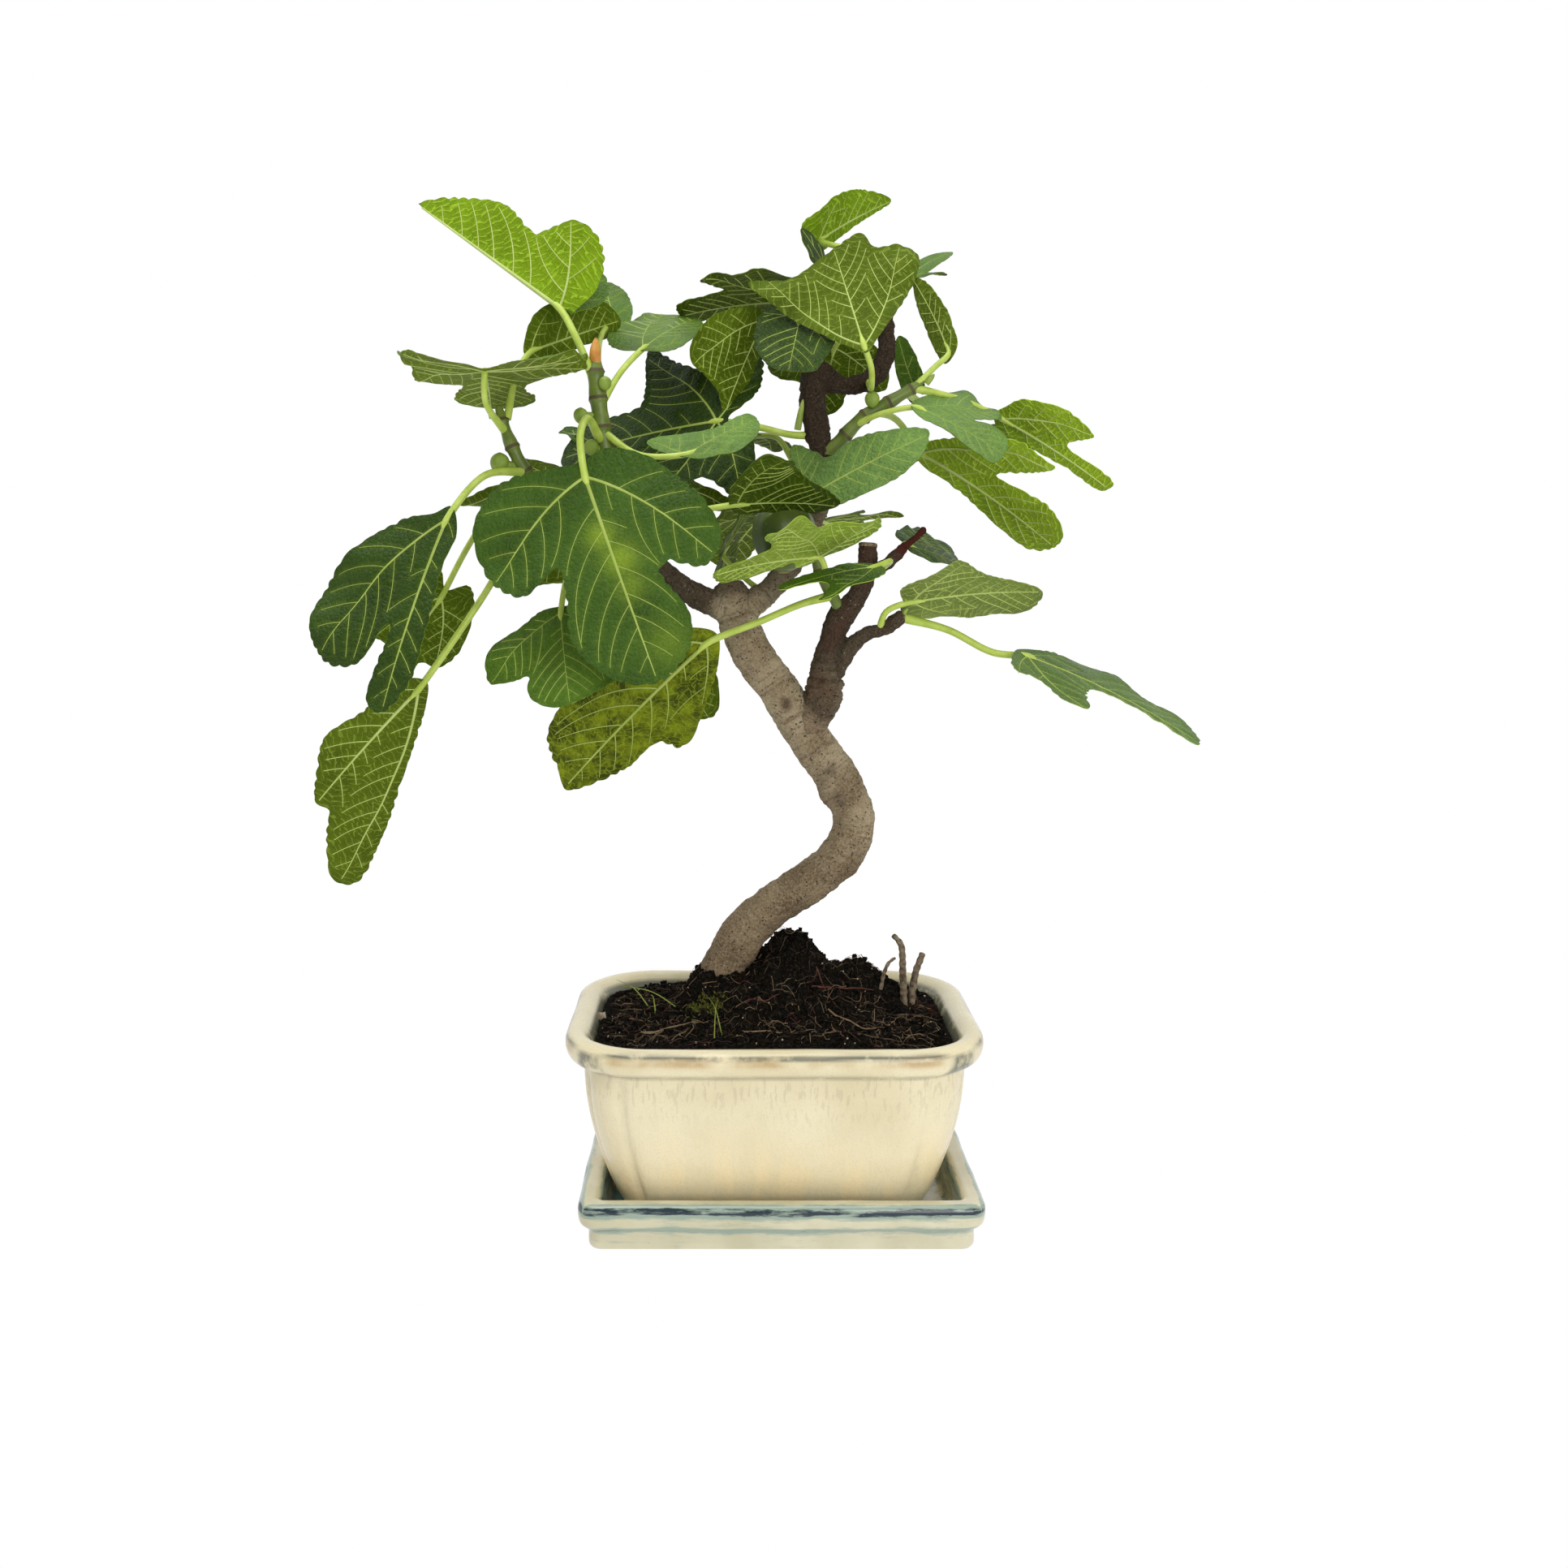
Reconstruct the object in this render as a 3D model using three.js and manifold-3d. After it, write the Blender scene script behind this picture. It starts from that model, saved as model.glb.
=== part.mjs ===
// Common fig bonsai in its glazed pot, on a saucer. Millimetres, +Z up, +X to the right and +Y away
// from the front. The origin is the middle of the saucer's flat underside.
import * as THREE from "three";
import { mergeVertices } from "three/addons/utils/BufferGeometryUtils.js";
import Module from "manifold-3d";

// Clearance between pieces that touch
const GAP = 0.3;

// Saucer: a shallow square-cornered tray. Its turns go up the outside over a waist, across the lip and
// down into the tray, each as [inset, height].
const SAUCER = { width: 200, depth: 150, corner: 10, innerCorner: 3, floor: 8 };
const SAUCER_TURNS = [
  [6, 0], [5, 2], [5, 9], [3.4, 11], [0.6, 14], [0, 20],
  [1, 24], [2.4, 25], [8.6, 25], [11, 23.5], [13, 10], [15, 8],
];

// Pot: a rounded rectangle with a rolled rim, set a little to the left on the saucer. The wall swells
// from the foot to the belly, and the rim's turns go over it from outside to inside as [inset, height].
const POT = {
  x: -3, width: 210, depth: 152, corner: 42, wall: 7, floor: 9,
  footWidth: 152, footDepth: 100, footCorner: 24,
  bellyWidth: 192, bellyDepth: 134, bellyCorner: 33, bellySwell: 0.8,
};
const POT_FOOT = SAUCER.floor + GAP;
const LIP_FOOT = 88;
const INSIDE = POT_FOOT + POT.floor;
const POT_SHARES = [0, 0.12, 0.3, 0.52, 0.76, 1];
const RIM_TURNS = [
  [3, 89], [0.8, 92], [0, 97.5], [1.6, 101], [4.4, 102], [9, 101.4], [12, 99], [15, 92],
];
const CORNER_STEPS = 7;

// Soil: peat heaped towards the trunk, [x, y, height above the edge, reach]
const SOIL_EDGE = 95;
const SOIL_INSET = 15.4;
const SOIL_RIM = 92;
const SOIL_HEAPS = [[0, 0, 14, 62], [8, 14, 26, 22], [48, 16, 16, 20], [-26, 14, 10, 24]];
const SOIL_RINGS = 8;

// The seat cut in the peat for the trunk: how much wider than the trunk's foot at its top and its bottom
const SEAT = { clearTop: 2.5, clearBottom: 1.2, height: 60, sides: 20 };

// Trunk: an S curve of bark, from its flat cut at soil level to the fork
const TRUNK_FOOT = 117;
const TRUNK = {
  points: [[-27, 15, TRUNK_FOOT], [-25, 14, 125], [-18, 11, 139], [-5, 8, 153], [16, 5, 168], [34, 4, 185],
    [39, 5, 201], [32, 6, 220], [15, 6, 245], [-2, 5, 271], [-14, 5, 288], [-22, 6, 306], [-25, 6, 319]],
  radii: [15, 12.6, 11.8, 11.2, 11, 11.2, 10.6, 10.8, 10.8, 10.2, 10.6, 10, 8.6],
};
const TRUNK_SIDES = 12;
const TRUNK_RINGS = 20;

// Boughs: each is one tapering limb, cut clear of the limbs named in on
const BOUGHS = {
  left_bough: {
    points: [[-24, 5, 308], [-46, 1, 319], [-65, -3, 334], [-78, -10, 352], [-84, -15, 370]],
    radii: [7, 6, 5.6, 5, 4.4], on: ["trunk"],
  },
  far_left_bough: {
    points: [[-68, -4, 338], [-84, -6, 348], [-102, -11, 357], [-119, -17, 366]],
    radii: [4.6, 4, 3.8, 3.6], on: ["left_bough"],
  },
  middle_bough: {
    points: [[-18, 6, 309], [-4, 8, 320], [6, 8, 333], [16, 8, 352], [22, 8, 374]],
    radii: [7, 6.2, 5.6, 5.6, 5.8], on: ["trunk", "left_bough"],
  },
  upper_bough: {
    points: [[22.5, 8, 377], [21, 8, 388], [18, 8, 402], [16, 8, 417], [20, 8, 431]],
    radii: [5.8, 6, 5.8, 6.6, 8.6], on: ["middle_bough"],
  },
  top_bough: {
    points: [[22, 8, 424], [36, 8, 421], [48, 8, 427], [53, 8, 438], [52, 9, 452], [51, 10, 464]],
    radii: [5, 4.6, 4.6, 4.4, 4, 3.6], on: ["upper_bough"],
  },
  right_bough: {
    points: [[14, 4, 248], [22, 0, 266], [25, 0, 290], [31, 0, 306], [38, 0, 315], [43, 0, 326],
      [44, 0, 343]],
    radii: [8.6, 8, 6.2, 6.6, 5.6, 4.8, 4.6], on: ["trunk"],
  },
  side_bough: {
    points: [[28, -1, 278], [37, -4, 292], [44, -4, 298], [52, -4, 300], [62, -4, 307]],
    radii: [4.6, 4.2, 3.8, 3.6, 3.2], on: ["right_bough", "trunk"],
  },
  right_twig: {
    points: [[43, 0, 327], [53, -2, 332], [61, -2, 340], [67, -2, 345], [72, -2, 350]],
    radii: [3.6, 2.8, 2.4, 1.6, 0.9], on: ["right_bough"],
  },
};
const BOUGH_SIDES = 8;
const BOUGH_STEP = 11;

// Dead stubs that stand in the soil
const STUB_SIDES = 6;
const STUB_STEPS = 5;
const STUBS = {
  tall_stub: { points: [[67, 4, 98], [66, 5, 120], [65, 7, 134], [61, 7, 139]], radii: [2, 1.8, 1.6, 1.2] },
  short_stub: { points: [[71, 10, 95], [73, 10, 116], [77, 11, 128]], radii: [2, 1.8, 1.6] },
};

// Blade outlines, each the turns of one leaf's margin as [degrees off the midrib, reach], going round
// from the right of the petiole to its left, with the reach in midrib lengths
const OUTLINES = {
  five: [[-140, 0.3], [-108, 0.58], [-80, 0.4], [-54, 0.86], [-36, 0.6], [-24, 0.55], [-12, 0.9], [0, 1],
    [12, 0.9], [24, 0.55], [36, 0.6], [54, 0.86], [80, 0.4], [108, 0.58], [140, 0.3]],
  three: [[-130, 0.3], [-95, 0.5], [-60, 0.78], [-44, 0.76], [-26, 0.64], [-14, 0.88], [0, 1], [14, 0.88],
    [26, 0.64], [44, 0.76], [60, 0.78], [95, 0.5], [130, 0.3]],
  oval: [[-125, 0.32], [-80, 0.5], [-40, 0.72], [-16, 0.92], [0, 1], [16, 0.92], [40, 0.72], [80, 0.5],
    [125, 0.32]],
  slim: [[-100, 0.14], [-40, 0.3], [-14, 0.68], [-5, 0.92], [0, 1], [5, 0.92], [14, 0.68], [40, 0.3],
    [100, 0.14]],
  front: [[-125, 0.16], [-106, 0.4], [-84, 0.57], [-62, 0.64], [-46, 0.62], [-35, 0.44], [-28, 0.54],
    [-23, 0.77], [-11, 0.94], [0, 1], [11, 0.93], [17.5, 0.8], [18.5, 0.56], [24, 0.55], [33, 0.69],
    [46, 0.68], [57, 0.57], [71, 0.41], [90, 0.29], [125, 0.16]],
  left_hung: [[-100, 0.08], [-78, 0.25], [-57, 0.6], [-42, 0.87], [-27, 0.94], [-15, 0.83], [-11, 0.58],
    [-8, 0.6], [-6, 0.97], [0, 1], [7, 0.85], [12, 0.56], [18, 0.27], [60, 0.1]],
  left_low: [[-60, 0.12], [-34, 0.4], [-28, 0.78], [-25, 1.15], [-21, 1.38], [-16, 1.38], [-9, 1.12],
    [-5, 0.97], [0, 0.97], [9, 0.8], [21, 0.62], [25, 0.36], [80, 0.12]],
  top_left: [[-120, 0.2], [-98, 0.32], [-80, 0.4], [-62, 0.44], [-46, 0.42], [-33, 0.42], [-24, 0.63],
    [-14, 0.78], [0, 1], [14, 0.78], [24, 0.63], [33, 0.42], [46, 0.42], [62, 0.44], [80, 0.4], [98, 0.32],
    [120, 0.2]],
  tilted: [[-96, 0.13], [-70, 0.26], [-54, 0.38], [-39, 0.52], [-30, 0.66], [-22, 0.78], [-11, 0.92],
    [0, 1], [6, 0.93], [10, 0.62], [24, 0.3], [70, 0.12]],
  edge_on: [[-90, 0.23], [-27, 0.66], [0, 1.05], [13, 1.2], [22, 1.25], [40, 0.88], [79, 0.42],
    [120, 0.2]],
  spread: [[-151, 0.4], [-143, 0.67], [-120, 0.77], [-69, 0.8], [-45, 0.64], [-28, 0.62], [-21, 1],
    [0, 1.03], [17, 0.96], [22, 0.56], [43, 0.8], [70, 0.62], [101, 0.65], [133, 0.71], [148, 0.3]],
  under_front: [[-110, 0.2], [-84, 0.4], [-76, 0.72], [-55, 0.93], [-40, 0.8], [-31, 0.7], [-25, 0.88],
    [-10, 0.98], [5, 0.96], [29, 0.93], [62, 0.82], [90, 0.3]],
  lowest: [[-80, 0.12], [-50, 0.3], [-35, 0.57], [-22, 0.57], [-14, 0.75], [-1, 1], [5, 0.95], [11, 0.92],
    [17, 0.88], [26, 0.73], [46, 0.44], [80, 0.15]],
  fan: [[-75, 0.12], [-54, 0.4], [-48, 0.75], [-41, 1.28], [-31, 1.03], [-25, 0.97], [0, 1], [15, 1.08],
    [22, 0.95], [36, 1], [50, 0.92], [57, 0.6], [75, 0.15]],
  hanging: [[-70, 0.1], [-24, 0.32], [-10, 0.7], [0, 1], [10, 0.86], [24, 0.85], [38, 0.92], [58, 0.74],
    [92, 0.25]],
  swept: [[-60, 0.15], [-16, 0.55], [-8, 0.95], [9, 0.98], [20, 0.72], [30, 0.56], [42, 0.8], [61, 0.67],
    [84, 0.6], [116, 0.49], [145, 0.2]],
  cut_right: [[-70, 0.15], [-24, 0.45], [-15, 1], [1, 1.02], [24, 0.95], [28, 0.62], [38, 0.95],
    [47, 0.99], [74, 0.82], [100, 0.25]],
  forked: [[-104, 0.12], [-82, 0.26], [-56, 0.45], [-29, 0.71], [-18, 0.55], [-10, 0.52], [-4, 0.95],
    [4, 0.92], [9, 0.58], [25, 0.28], [80, 0.12]],
  long_forked: [[-90, 0.1], [-63, 0.27], [-48, 0.75], [-39, 0.97], [-31, 0.7], [-21, 0.5], [-17, 0.85],
    [-8, 1], [1, 0.99], [13, 0.86], [18, 0.55], [28, 0.25], [80, 0.1]],
  folded_right: [[-80, 0.15], [-38, 0.37], [-18, 0.74], [-8, 0.94], [2, 1.02], [17, 0.72], [31, 0.52],
    [44, 0.32], [70, 0.38], [92, 0.52], [115, 0.25]],
  raised: [[-120, 0.3], [-94, 0.85], [-77, 0.9], [-60, 0.72], [-46, 0.68], [-20, 0.8], [-2, 1], [10, 0.85],
    [20, 0.5], [70, 0.18]],
  winged: [[-70, 0.18], [-28, 0.35], [-20, 0.79], [-6, 0.95], [2, 1], [12, 0.75], [24, 0.62], [41, 1.12],
    [55, 1.06], [69, 0.66], [85, 0.67], [100, 0.76], [121, 0.6], [145, 0.25]],
  small_cut: [[-80, 0.2], [-44, 0.5], [-30, 0.66], [-8, 0.88], [9, 0.97], [18, 0.5], [35, 0.4], [60, 0.42],
    [82, 0.46], [100, 0.56], [130, 0.2]],
  two_tipped: [[-60, 0.15], [-10, 0.6], [-4, 0.95], [0, 1], [9, 0.64], [17, 0.65], [24, 0.95], [31, 0.6],
    [80, 0.2]],
  blunt: [[-110, 0.2], [-63, 0.35], [-20, 0.6], [0, 1], [16, 1.1], [38, 1.5], [52, 1.42], [70, 0.73],
    [120, 0.25]],
  waved: [[-114, 0.22], [-76, 0.34], [-57, 0.62], [-38, 0.6], [-17, 0.7], [-8, 0.85], [0, 1], [15, 0.98],
    [29, 0.74], [42, 0.5], [75, 0.3], [125, 0.15]],
  drooping: [[-109, 0.31], [-84, 0.27], [-70, 0.47], [-62, 0.53], [-44, 0.38], [-20, 0.36], [-10, 0.45],
    [-8, 0.6], [-7, 0.8], [-6, 0.95], [0, 1], [5, 1], [14, 0.95], [18, 0.84], [20, 0.7], [29, 0.65],
    [33, 0.54], [40, 0.44], [50, 0.3], [65, 0.16], [100, 0.08]],
  lit: [[-135, 0.35], [-81, 0.3], [-40, 0.5], [-15, 0.75], [0, 1], [7, 0.6], [20, 0.32], [90, 0.12]],
  round: [[-115, 0.55], [-60, 0.65], [-36, 0.85], [-13, 1.05], [18, 1.03], [40, 0.75], [62, 0.6],
    [110, 0.35]],
};
const NOTCH = 0.07;
const BLADE_THICKNESS = 1.2;

// Petioles: four-sided, their ends sunk in the shoot and in the blade
const PETIOLE_RADIUS = 1.7;
const PETIOLE_TIP = 1.02;
const PETIOLE_SINK = 4;
const PETIOLE_SIDES = 4;
const PETIOLE_STEPS = 5;

// Shoots and the young figs on them. A fig's neck is this share of its radius, and at most as thick as
// a petiole.
const STEM_SIDES = 7;
const STEM_RINGS = 5;
const FIG = { sides: 10, rings: 7, tall: 1.12, neck: 0.4 };

// What one solid is grown by when its neighbour is cut clear of it
const WOOD_CLEAR = GAP + 0.1;

// A leaf: its blade's base and tip, which way the upper face looks, its outline, and the petiole's way
// from the shoot to the base. fold turns the right half up about the midrib by degrees, arch humps the
// midrib, droop lowers the sides, and wide stretches the blade across.
const leaf = (base, tip, face, outline, petiole, shape = {}) => (
  { base, tip, face, outline, petiole, ...shape }
);

const SHOOTS = {
  far_left_shoot: {
    stem: {
      points: [[-117, -16, 365], [-126, -20, 379], [-132, -21, 392], [-137, -20, 407]],
      radii: [3.4, 3.4, 3.2, 2],
    },
    figs: [[-136.5, -23, 380.5, 4.6, [-126, -20, 379]]],
    leaves: [
      leaf([-123, -4, 436], [-81, 28, 456], [-0.2, 1, 0.3], "tilted", [[-133, -20, 402], [-129, -12, 424]]),
      leaf([-139, -46, 421], [-146, 14, 411], [0, 0.1, 1], "spread",
        [[-134, -21, 396], [-140, -40, 408]], { droop: -0.2 }),
      leaf([-159, -44, 353], [-189, -60, 263], [-0.4, -1, 0.3], "left_hung",
        [[-124, -20, 377], [-142, -36, 374]]),
      leaf([-177, -34, 272], [-234, -22, 212], [-0.3, 1, 0.4], "left_low",
        [[-121, -18, 371], [-138, -24, 330], [-158, -32, 298]]),
      leaf([-172, 4, 316], [-209, 14, 264], [-0.2, 1, 0.6], "three",
        [[-123, -18, 373], [-150, -6, 350]], { wide: 0.55 }),
    ],
  },
  left_shoot: {
    stem: {
      points: [[-84, -15, 371], [-86, -19, 388], [-88, -20, 404], [-90, -20, 426], [-90, -20, 437]],
      radii: [4.4, 4.4, 4.2, 4.2, 1],
    },
    figs: [
      [-97, -24, 403, 3.4, [-88, -20, 404]],
      [-92, -25, 388, 3.4, [-86, -19, 388]],
      [-85, -25, 418, 3, [-89, -20, 415]],
    ],
    leaves: [
      leaf([-107, -18, 454], [-180, 14, 509], [0.27, 1, -0.2], "top_left",
        [[-91, -20, 421], [-98, -24, 438]], { fold: 138 }),
      leaf([-68, 0, 438], [-44, 45, 459], [0, -0.45, 1], "edge_on", [[-88, -20, 408], [-78, -10, 426]]),
      leaf([-86, 42, 460], [-94, 78, 484], [0, -0.8, 1], "oval",
        [[-90, -17, 424], [-90, 14, 446]], { wide: 0.5 }),
      leaf([-92, -58, 372], [-58, -80, 279], [-0.1, -1, 0.3], "front",
        [[-88, -21, 392], [-92, -42, 400], [-94, -58, 390]]),
      leaf([-107, -34, 309], [-100, -62, 266], [-0.2, -1, 0.4], "under_front",
        [[-85, -17, 377], [-99, -32, 345]]),
      leaf([-45, -38, 384], [-10, -14, 403], [0, -0.6, 1], "small_cut", [[-87, -20, 396], [-68, -32, 384]]),
      leaf([-22, -47, 360], [27, -30, 360], [0.1, 0.6, 1], "raised", [[-85, -18, 380], [-56, -38, 358]]),
    ],
  },
  back_left_shoot: {
    stem: {
      points: [[-67, 2, 338], [-70, 20, 346], [-74, 36, 360], [-78, 42, 384]],
      radii: [3.4, 3.2, 2.8, 1.4],
    },
    figs: [[-82, 36, 364, 3.6, [-74, 36, 360]]],
    leaves: [
      leaf([-112, 52, 374], [-152, 100, 340], [-0.3, 0.7, 0.7], "five", [[-74, 36, 360], [-92, 44, 376]]),
      leaf([-70, 58, 376], [-46, 106, 338], [0.2, 0.8, 0.6], "five", [[-75, 38, 364], [-72, 48, 376]]),
      leaf([-95, 60, 350], [-102, 98, 290], [-0.1, 1, 0.5], "five", [[-72, 28, 350], [-84, 48, 358]]),
      leaf([-85, 54, 394], [-100, 90, 410], [0, 0.3, 1], "three", [[-78, 41, 376], [-82, 46, 388]]),
      leaf([-66, 42, 288], [-86, 66, 232], [0, 1, 0.3], "three", [[-69, 14, 343], [-64, 36, 322]]),
    ],
  },
  back_shoot: {
    stem: {
      points: [[15, 13, 352], [14, 28, 362], [12, 42, 374], [8, 50, 392]],
      radii: [3.4, 3.2, 2.8, 1.4],
    },
    figs: [[17, 40, 366, 4, [13, 34, 367]]],
    leaves: [
      leaf([24, 60, 384], [60, 100, 392], [0.2, 0.5, 1], "five", [[12, 40, 372], [18, 52, 382]]),
      leaf([-7, 62, 360], [-30, 110, 332], [-0.3, 0.8, 0.6], "five", [[13, 32, 365], [2, 50, 368]]),
      leaf([26, 62, 356], [52, 106, 350], [0.3, 0.8, 0.6], "five", [[14, 26, 361], [22, 46, 362]]),
      leaf([-10, 64, 402], [-40, 100, 404], [-0.2, 0.5, 1], "three", [[8, 49, 388], [0, 58, 400]]),
    ],
  },
  inner_left_leaf: {
    leaves: [
      leaf([-32, 12, 404], [-114, 46, 388], [0, -0.8, 0.6], "five",
        [[22, 8, 397], [6, 8, 397], [-10, 12, 401]]),
    ],
  },
  fork_leaf: {
    leaves: [
      leaf([16, -8, 367], [70, -22, 394], [-0.1, -1, 0.6], "folded_right", [[20, 8, 362], [17, 0, 361]]),
    ],
  },
  low_inner_leaf: {
    leaves: [leaf([-29, 22, 338], [-8, 42, 366], [0, 0.6, 1], "three", [[-8, 8, 318], [-18, 16, 326]])],
  },
  top_shoot: {
    stem: { points: [[51, 10, 465], [50, 11, 474], [48, 13, 484]], radii: [3.6, 3.2, 1.4] },
    figs: [[54, 7, 473, 3, [50, 11, 474]]],
    leaves: [
      leaf([21, 45, 499], [61, 72, 525], [-0.3, 1, 0.8], "lit", [[49, 12, 480], [40, 30, 490]]),
      leaf([9, -2, 451], [3, -26, 425], [0, -1, 0.6], "round", [[50, 11, 472], [36, 6, 466], [19, 4, 459]]),
      leaf([-8, 20, 455], [-28, 15, 408], [-0.4, 0.9, 0.5], "hanging",
        [[50, 11, 474], [26, 18, 470], [6, 20, 462]]),
      leaf([4, 38, 467], [-52, 58, 463], [0.1, 0.3, 1], "swept", [[49, 12, 478], [30, 28, 478]]),
      leaf([66, 30, 478], [92, 60, 496], [0, -0.4, 1], "slim",
        [[49, 13, 482], [58, 20, 484]], { wide: 0.8 }),
      leaf([22, 22, 482], [10, 16, 498], [0, -0.6, 1], "oval", [[50, 12, 478], [36, 16, 482]]),
      leaf([22, 60, 472], [-18, 112, 468], [-0.1, 0.5, 1], "five", [[50, 12, 474], [42, 36, 480]]),
      leaf([50, 58, 482], [62, 108, 494], [0.1, 0.4, 1], "five", [[50, 13, 478], [52, 36, 486]]),
      leaf([30, 52, 446], [24, 88, 414], [0, 1, 0.4], "three", [[51, 10, 468], [44, 34, 460]]),
    ],
  },
  upper_front_leaf: {
    leaves: [
      leaf([39, -22, 436], [25, -6, 484], [0, 1, 0.4], "fan",
        [[44, 8, 424], [44, -8, 418], [43, -18, 426]]),
    ],
  },
  right_shoot: {
    stem: {
      points: [[22, 7, 387], [30, 4, 394], [40, 1, 404], [52, 0, 411], [62, 0, 417], [70, 0, 422]],
      radii: [3.6, 3.4, 3.4, 3.2, 3, 1.4],
    },
    figs: [[45, -3, 413, 3.6, [46, 0, 408]]],
    leaves: [
      leaf([66, -14, 408], [106, -25, 385], [0.2, -0.7, 1], "cut_right", [[36, 2, 401], [50, -8, 406]]),
      leaf([68, 12, 420], [61, 28, 448], [-0.8, -0.5, 0.3], "oval",
        [[58, 0, 414], [63, 6, 417]], { wide: 0.45 }),
      leaf([84, 6, 437], [68, 30, 477], [0.8, 0.6, 0.3], "slim", [[67, 0, 420], [76, 2, 429]]),
      leaf([112, 10, 405], [168, 4, 368], [0.1, 0.6, 0.9], "forked", [[66, 0, 419], [90, 6, 414]]),
      leaf([100, 54, 398], [142, 88, 394], [0.1, 0.4, 1], "five", [[62, 0, 417], [80, 30, 410]]),
      leaf([74, 30, 390], [141, 12, 341], [0.3, 0.6, 0.9], "long_forked", [[46, 0, 408], [60, 18, 405]]),
    ],
  },
  inner_right_shoot: {
    stem: { points: [[32, 0, 306], [27, -4, 316], [21, -6, 326], [16, -8, 338]], radii: [3.2, 3, 3, 1.6] },
    figs: [[1, -20, 346, 15.5, [16, -8, 338]]],
    leaves: [
      leaf([18, -28, 336], [-33, -55, 327], [-0.1, 0.5, 1], "winged", [[21, -6, 326], [22, -18, 328]]),
      leaf([-37, -28, 294], [-108, -24, 222], [-0.3, 1, 0.4], "lowest",
        [[26, -4, 317], [10, -16, 313], [-10, -26, 305]]),
    ],
  },
  low_twig_leaf: {
    leaves: [
      leaf([45, -24, 331], [-2, -52, 320], [0, -0.4, 1], "two_tipped", [[50, -1, 330], [54, -14, 334]]),
    ],
  },
  high_twig_leaf: {
    leaves: [leaf([66, 10, 342], [97, 28, 331], [-0.2, -0.7, 1], "blunt", [[62, -2, 341], [63, 4, 343]])],
  },
  near_side_leaf: {
    leaves: [leaf([66, -8, 314], [130, -12, 319], [0, 0.6, 1], "waved", [[50, -4, 299], [53, -8, 309]])],
  },
  far_side_leaf: {
    leaves: [
      leaf([123, -16, 287], [212, -10, 243], [0.45, -0.3, 0.9], "drooping",
        [[61, -4, 306], [84, -8, 300], [106, -13, 289]]),
    ],
  },
};

const COLOURS = {
  glaze: "#ebe1b9", saucerGlaze: "#d9dac0", soil: "#1d1714",
  bark: "#8f8170", darkBark: "#4c382c", leaf: "#4f7d2b",
};

const wasm = await Module();
wasm.setup();

function toSolid(geometry) {
  const bare = geometry.clone();
  bare.deleteAttribute("normal");
  bare.deleteAttribute("uv");
  const merged = mergeVertices(bare, 1e-4);
  return new wasm.Manifold(new wasm.Mesh({
    numProp: 3,
    vertProperties: new Float32Array(merged.attributes.position.array),
    triVerts: new Uint32Array(merged.index.array),
  }));
}

function toGeometry(solid) {
  const mesh = solid.getMesh();
  const geometry = new THREE.BufferGeometry();
  geometry.setAttribute("position", new THREE.BufferAttribute(new Float32Array(mesh.vertProperties), 3));
  geometry.setIndex(new THREE.BufferAttribute(new Uint32Array(mesh.triVerts), 1));
  return geometry;
}

// The largest piece of a cut solid, so that no loose scrap stays
function largest(solid) {
  const parts = solid.decompose();
  return parts.reduce((best, part) => (part.volume() > best.volume() ? part : best));
}

// A closed skin over rings of points that all have the same count, with a fan at each end whose middle
// is the ring's own unless ends gives it
function loft(rings, ends = null) {
  const count = rings[0].length;
  const middle = (ring) => ring.reduce((sum, p) => sum.add(p), new THREE.Vector3()).divideScalar(count);
  const points = [...rings.flat(), ...(ends ?? [middle(rings[0]), middle(rings[rings.length - 1])])];
  const first = rings.length * count;
  const last = first + 1;
  const faces = [];
  for (let i = 0; i < count; i += 1) {
    const j = (i + 1) % count;
    faces.push(first, j, i);
    const top = (rings.length - 1) * count;
    faces.push(last, top + i, top + j);
    for (let r = 0; r < rings.length - 1; r += 1) {
      const a = r * count;
      const b = a + count;
      faces.push(a + i, a + j, b + j, a + i, b + j, b + i);
    }
  }
  const geometry = new THREE.BufferGeometry().setFromPoints(points);
  geometry.setIndex(faces);
  return geometry;
}

// A rounded rectangle at height z, drawn anticlockwise
function roundedRing(width, depth, corner, z, x = 0) {
  const ring = [];
  for (let quarter = 0; quarter < 4; quarter += 1) {
    const sx = quarter === 0 || quarter === 3 ? 1 : -1;
    const sy = quarter < 2 ? 1 : -1;
    for (let i = 0; i < CORNER_STEPS; i += 1) {
      const a = (Math.PI / 2) * (quarter + i / (CORNER_STEPS - 1));
      const px = sx * (width / 2 - corner) + corner * Math.cos(a);
      const py = sy * (depth / 2 - corner) + corner * Math.sin(a);
      ring.push(new THREE.Vector3(x + px, py, z));
    }
  }
  return ring;
}

// A tapering limb: rings carried along a smooth curve, its first ring cut level where flat is set
function limb({ points, radii }, sides, steps, extra = 0, flat = false) {
  const curve = new THREE.CatmullRomCurve3(points.map((p) => new THREE.Vector3(...p)), false, "centripetal");
  const frames = curve.computeFrenetFrames(steps, false);
  const rings = [];
  for (let s = 0; s <= steps; s += 1) {
    const u = s / steps;
    const t = curve.getUtoTmapping(u) * (radii.length - 1);
    const k = Math.min(Math.floor(t), radii.length - 2);
    const r = THREE.MathUtils.lerp(radii[k], radii[k + 1], t - k) + extra;
    const centre = curve.getPointAt(u);
    const ring = [];
    for (let i = 0; i < sides; i += 1) {
      const a = (2 * Math.PI * i) / sides;
      const p = centre.clone();
      p.addScaledVector(frames.normals[s], r * Math.cos(a));
      p.addScaledVector(frames.binormals[s], r * Math.sin(a));
      if (flat && s === 0) p.z = points[0][2];
      ring.push(p);
    }
    rings.push(ring);
  }
  return toSolid(loft(rings));
}

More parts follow.
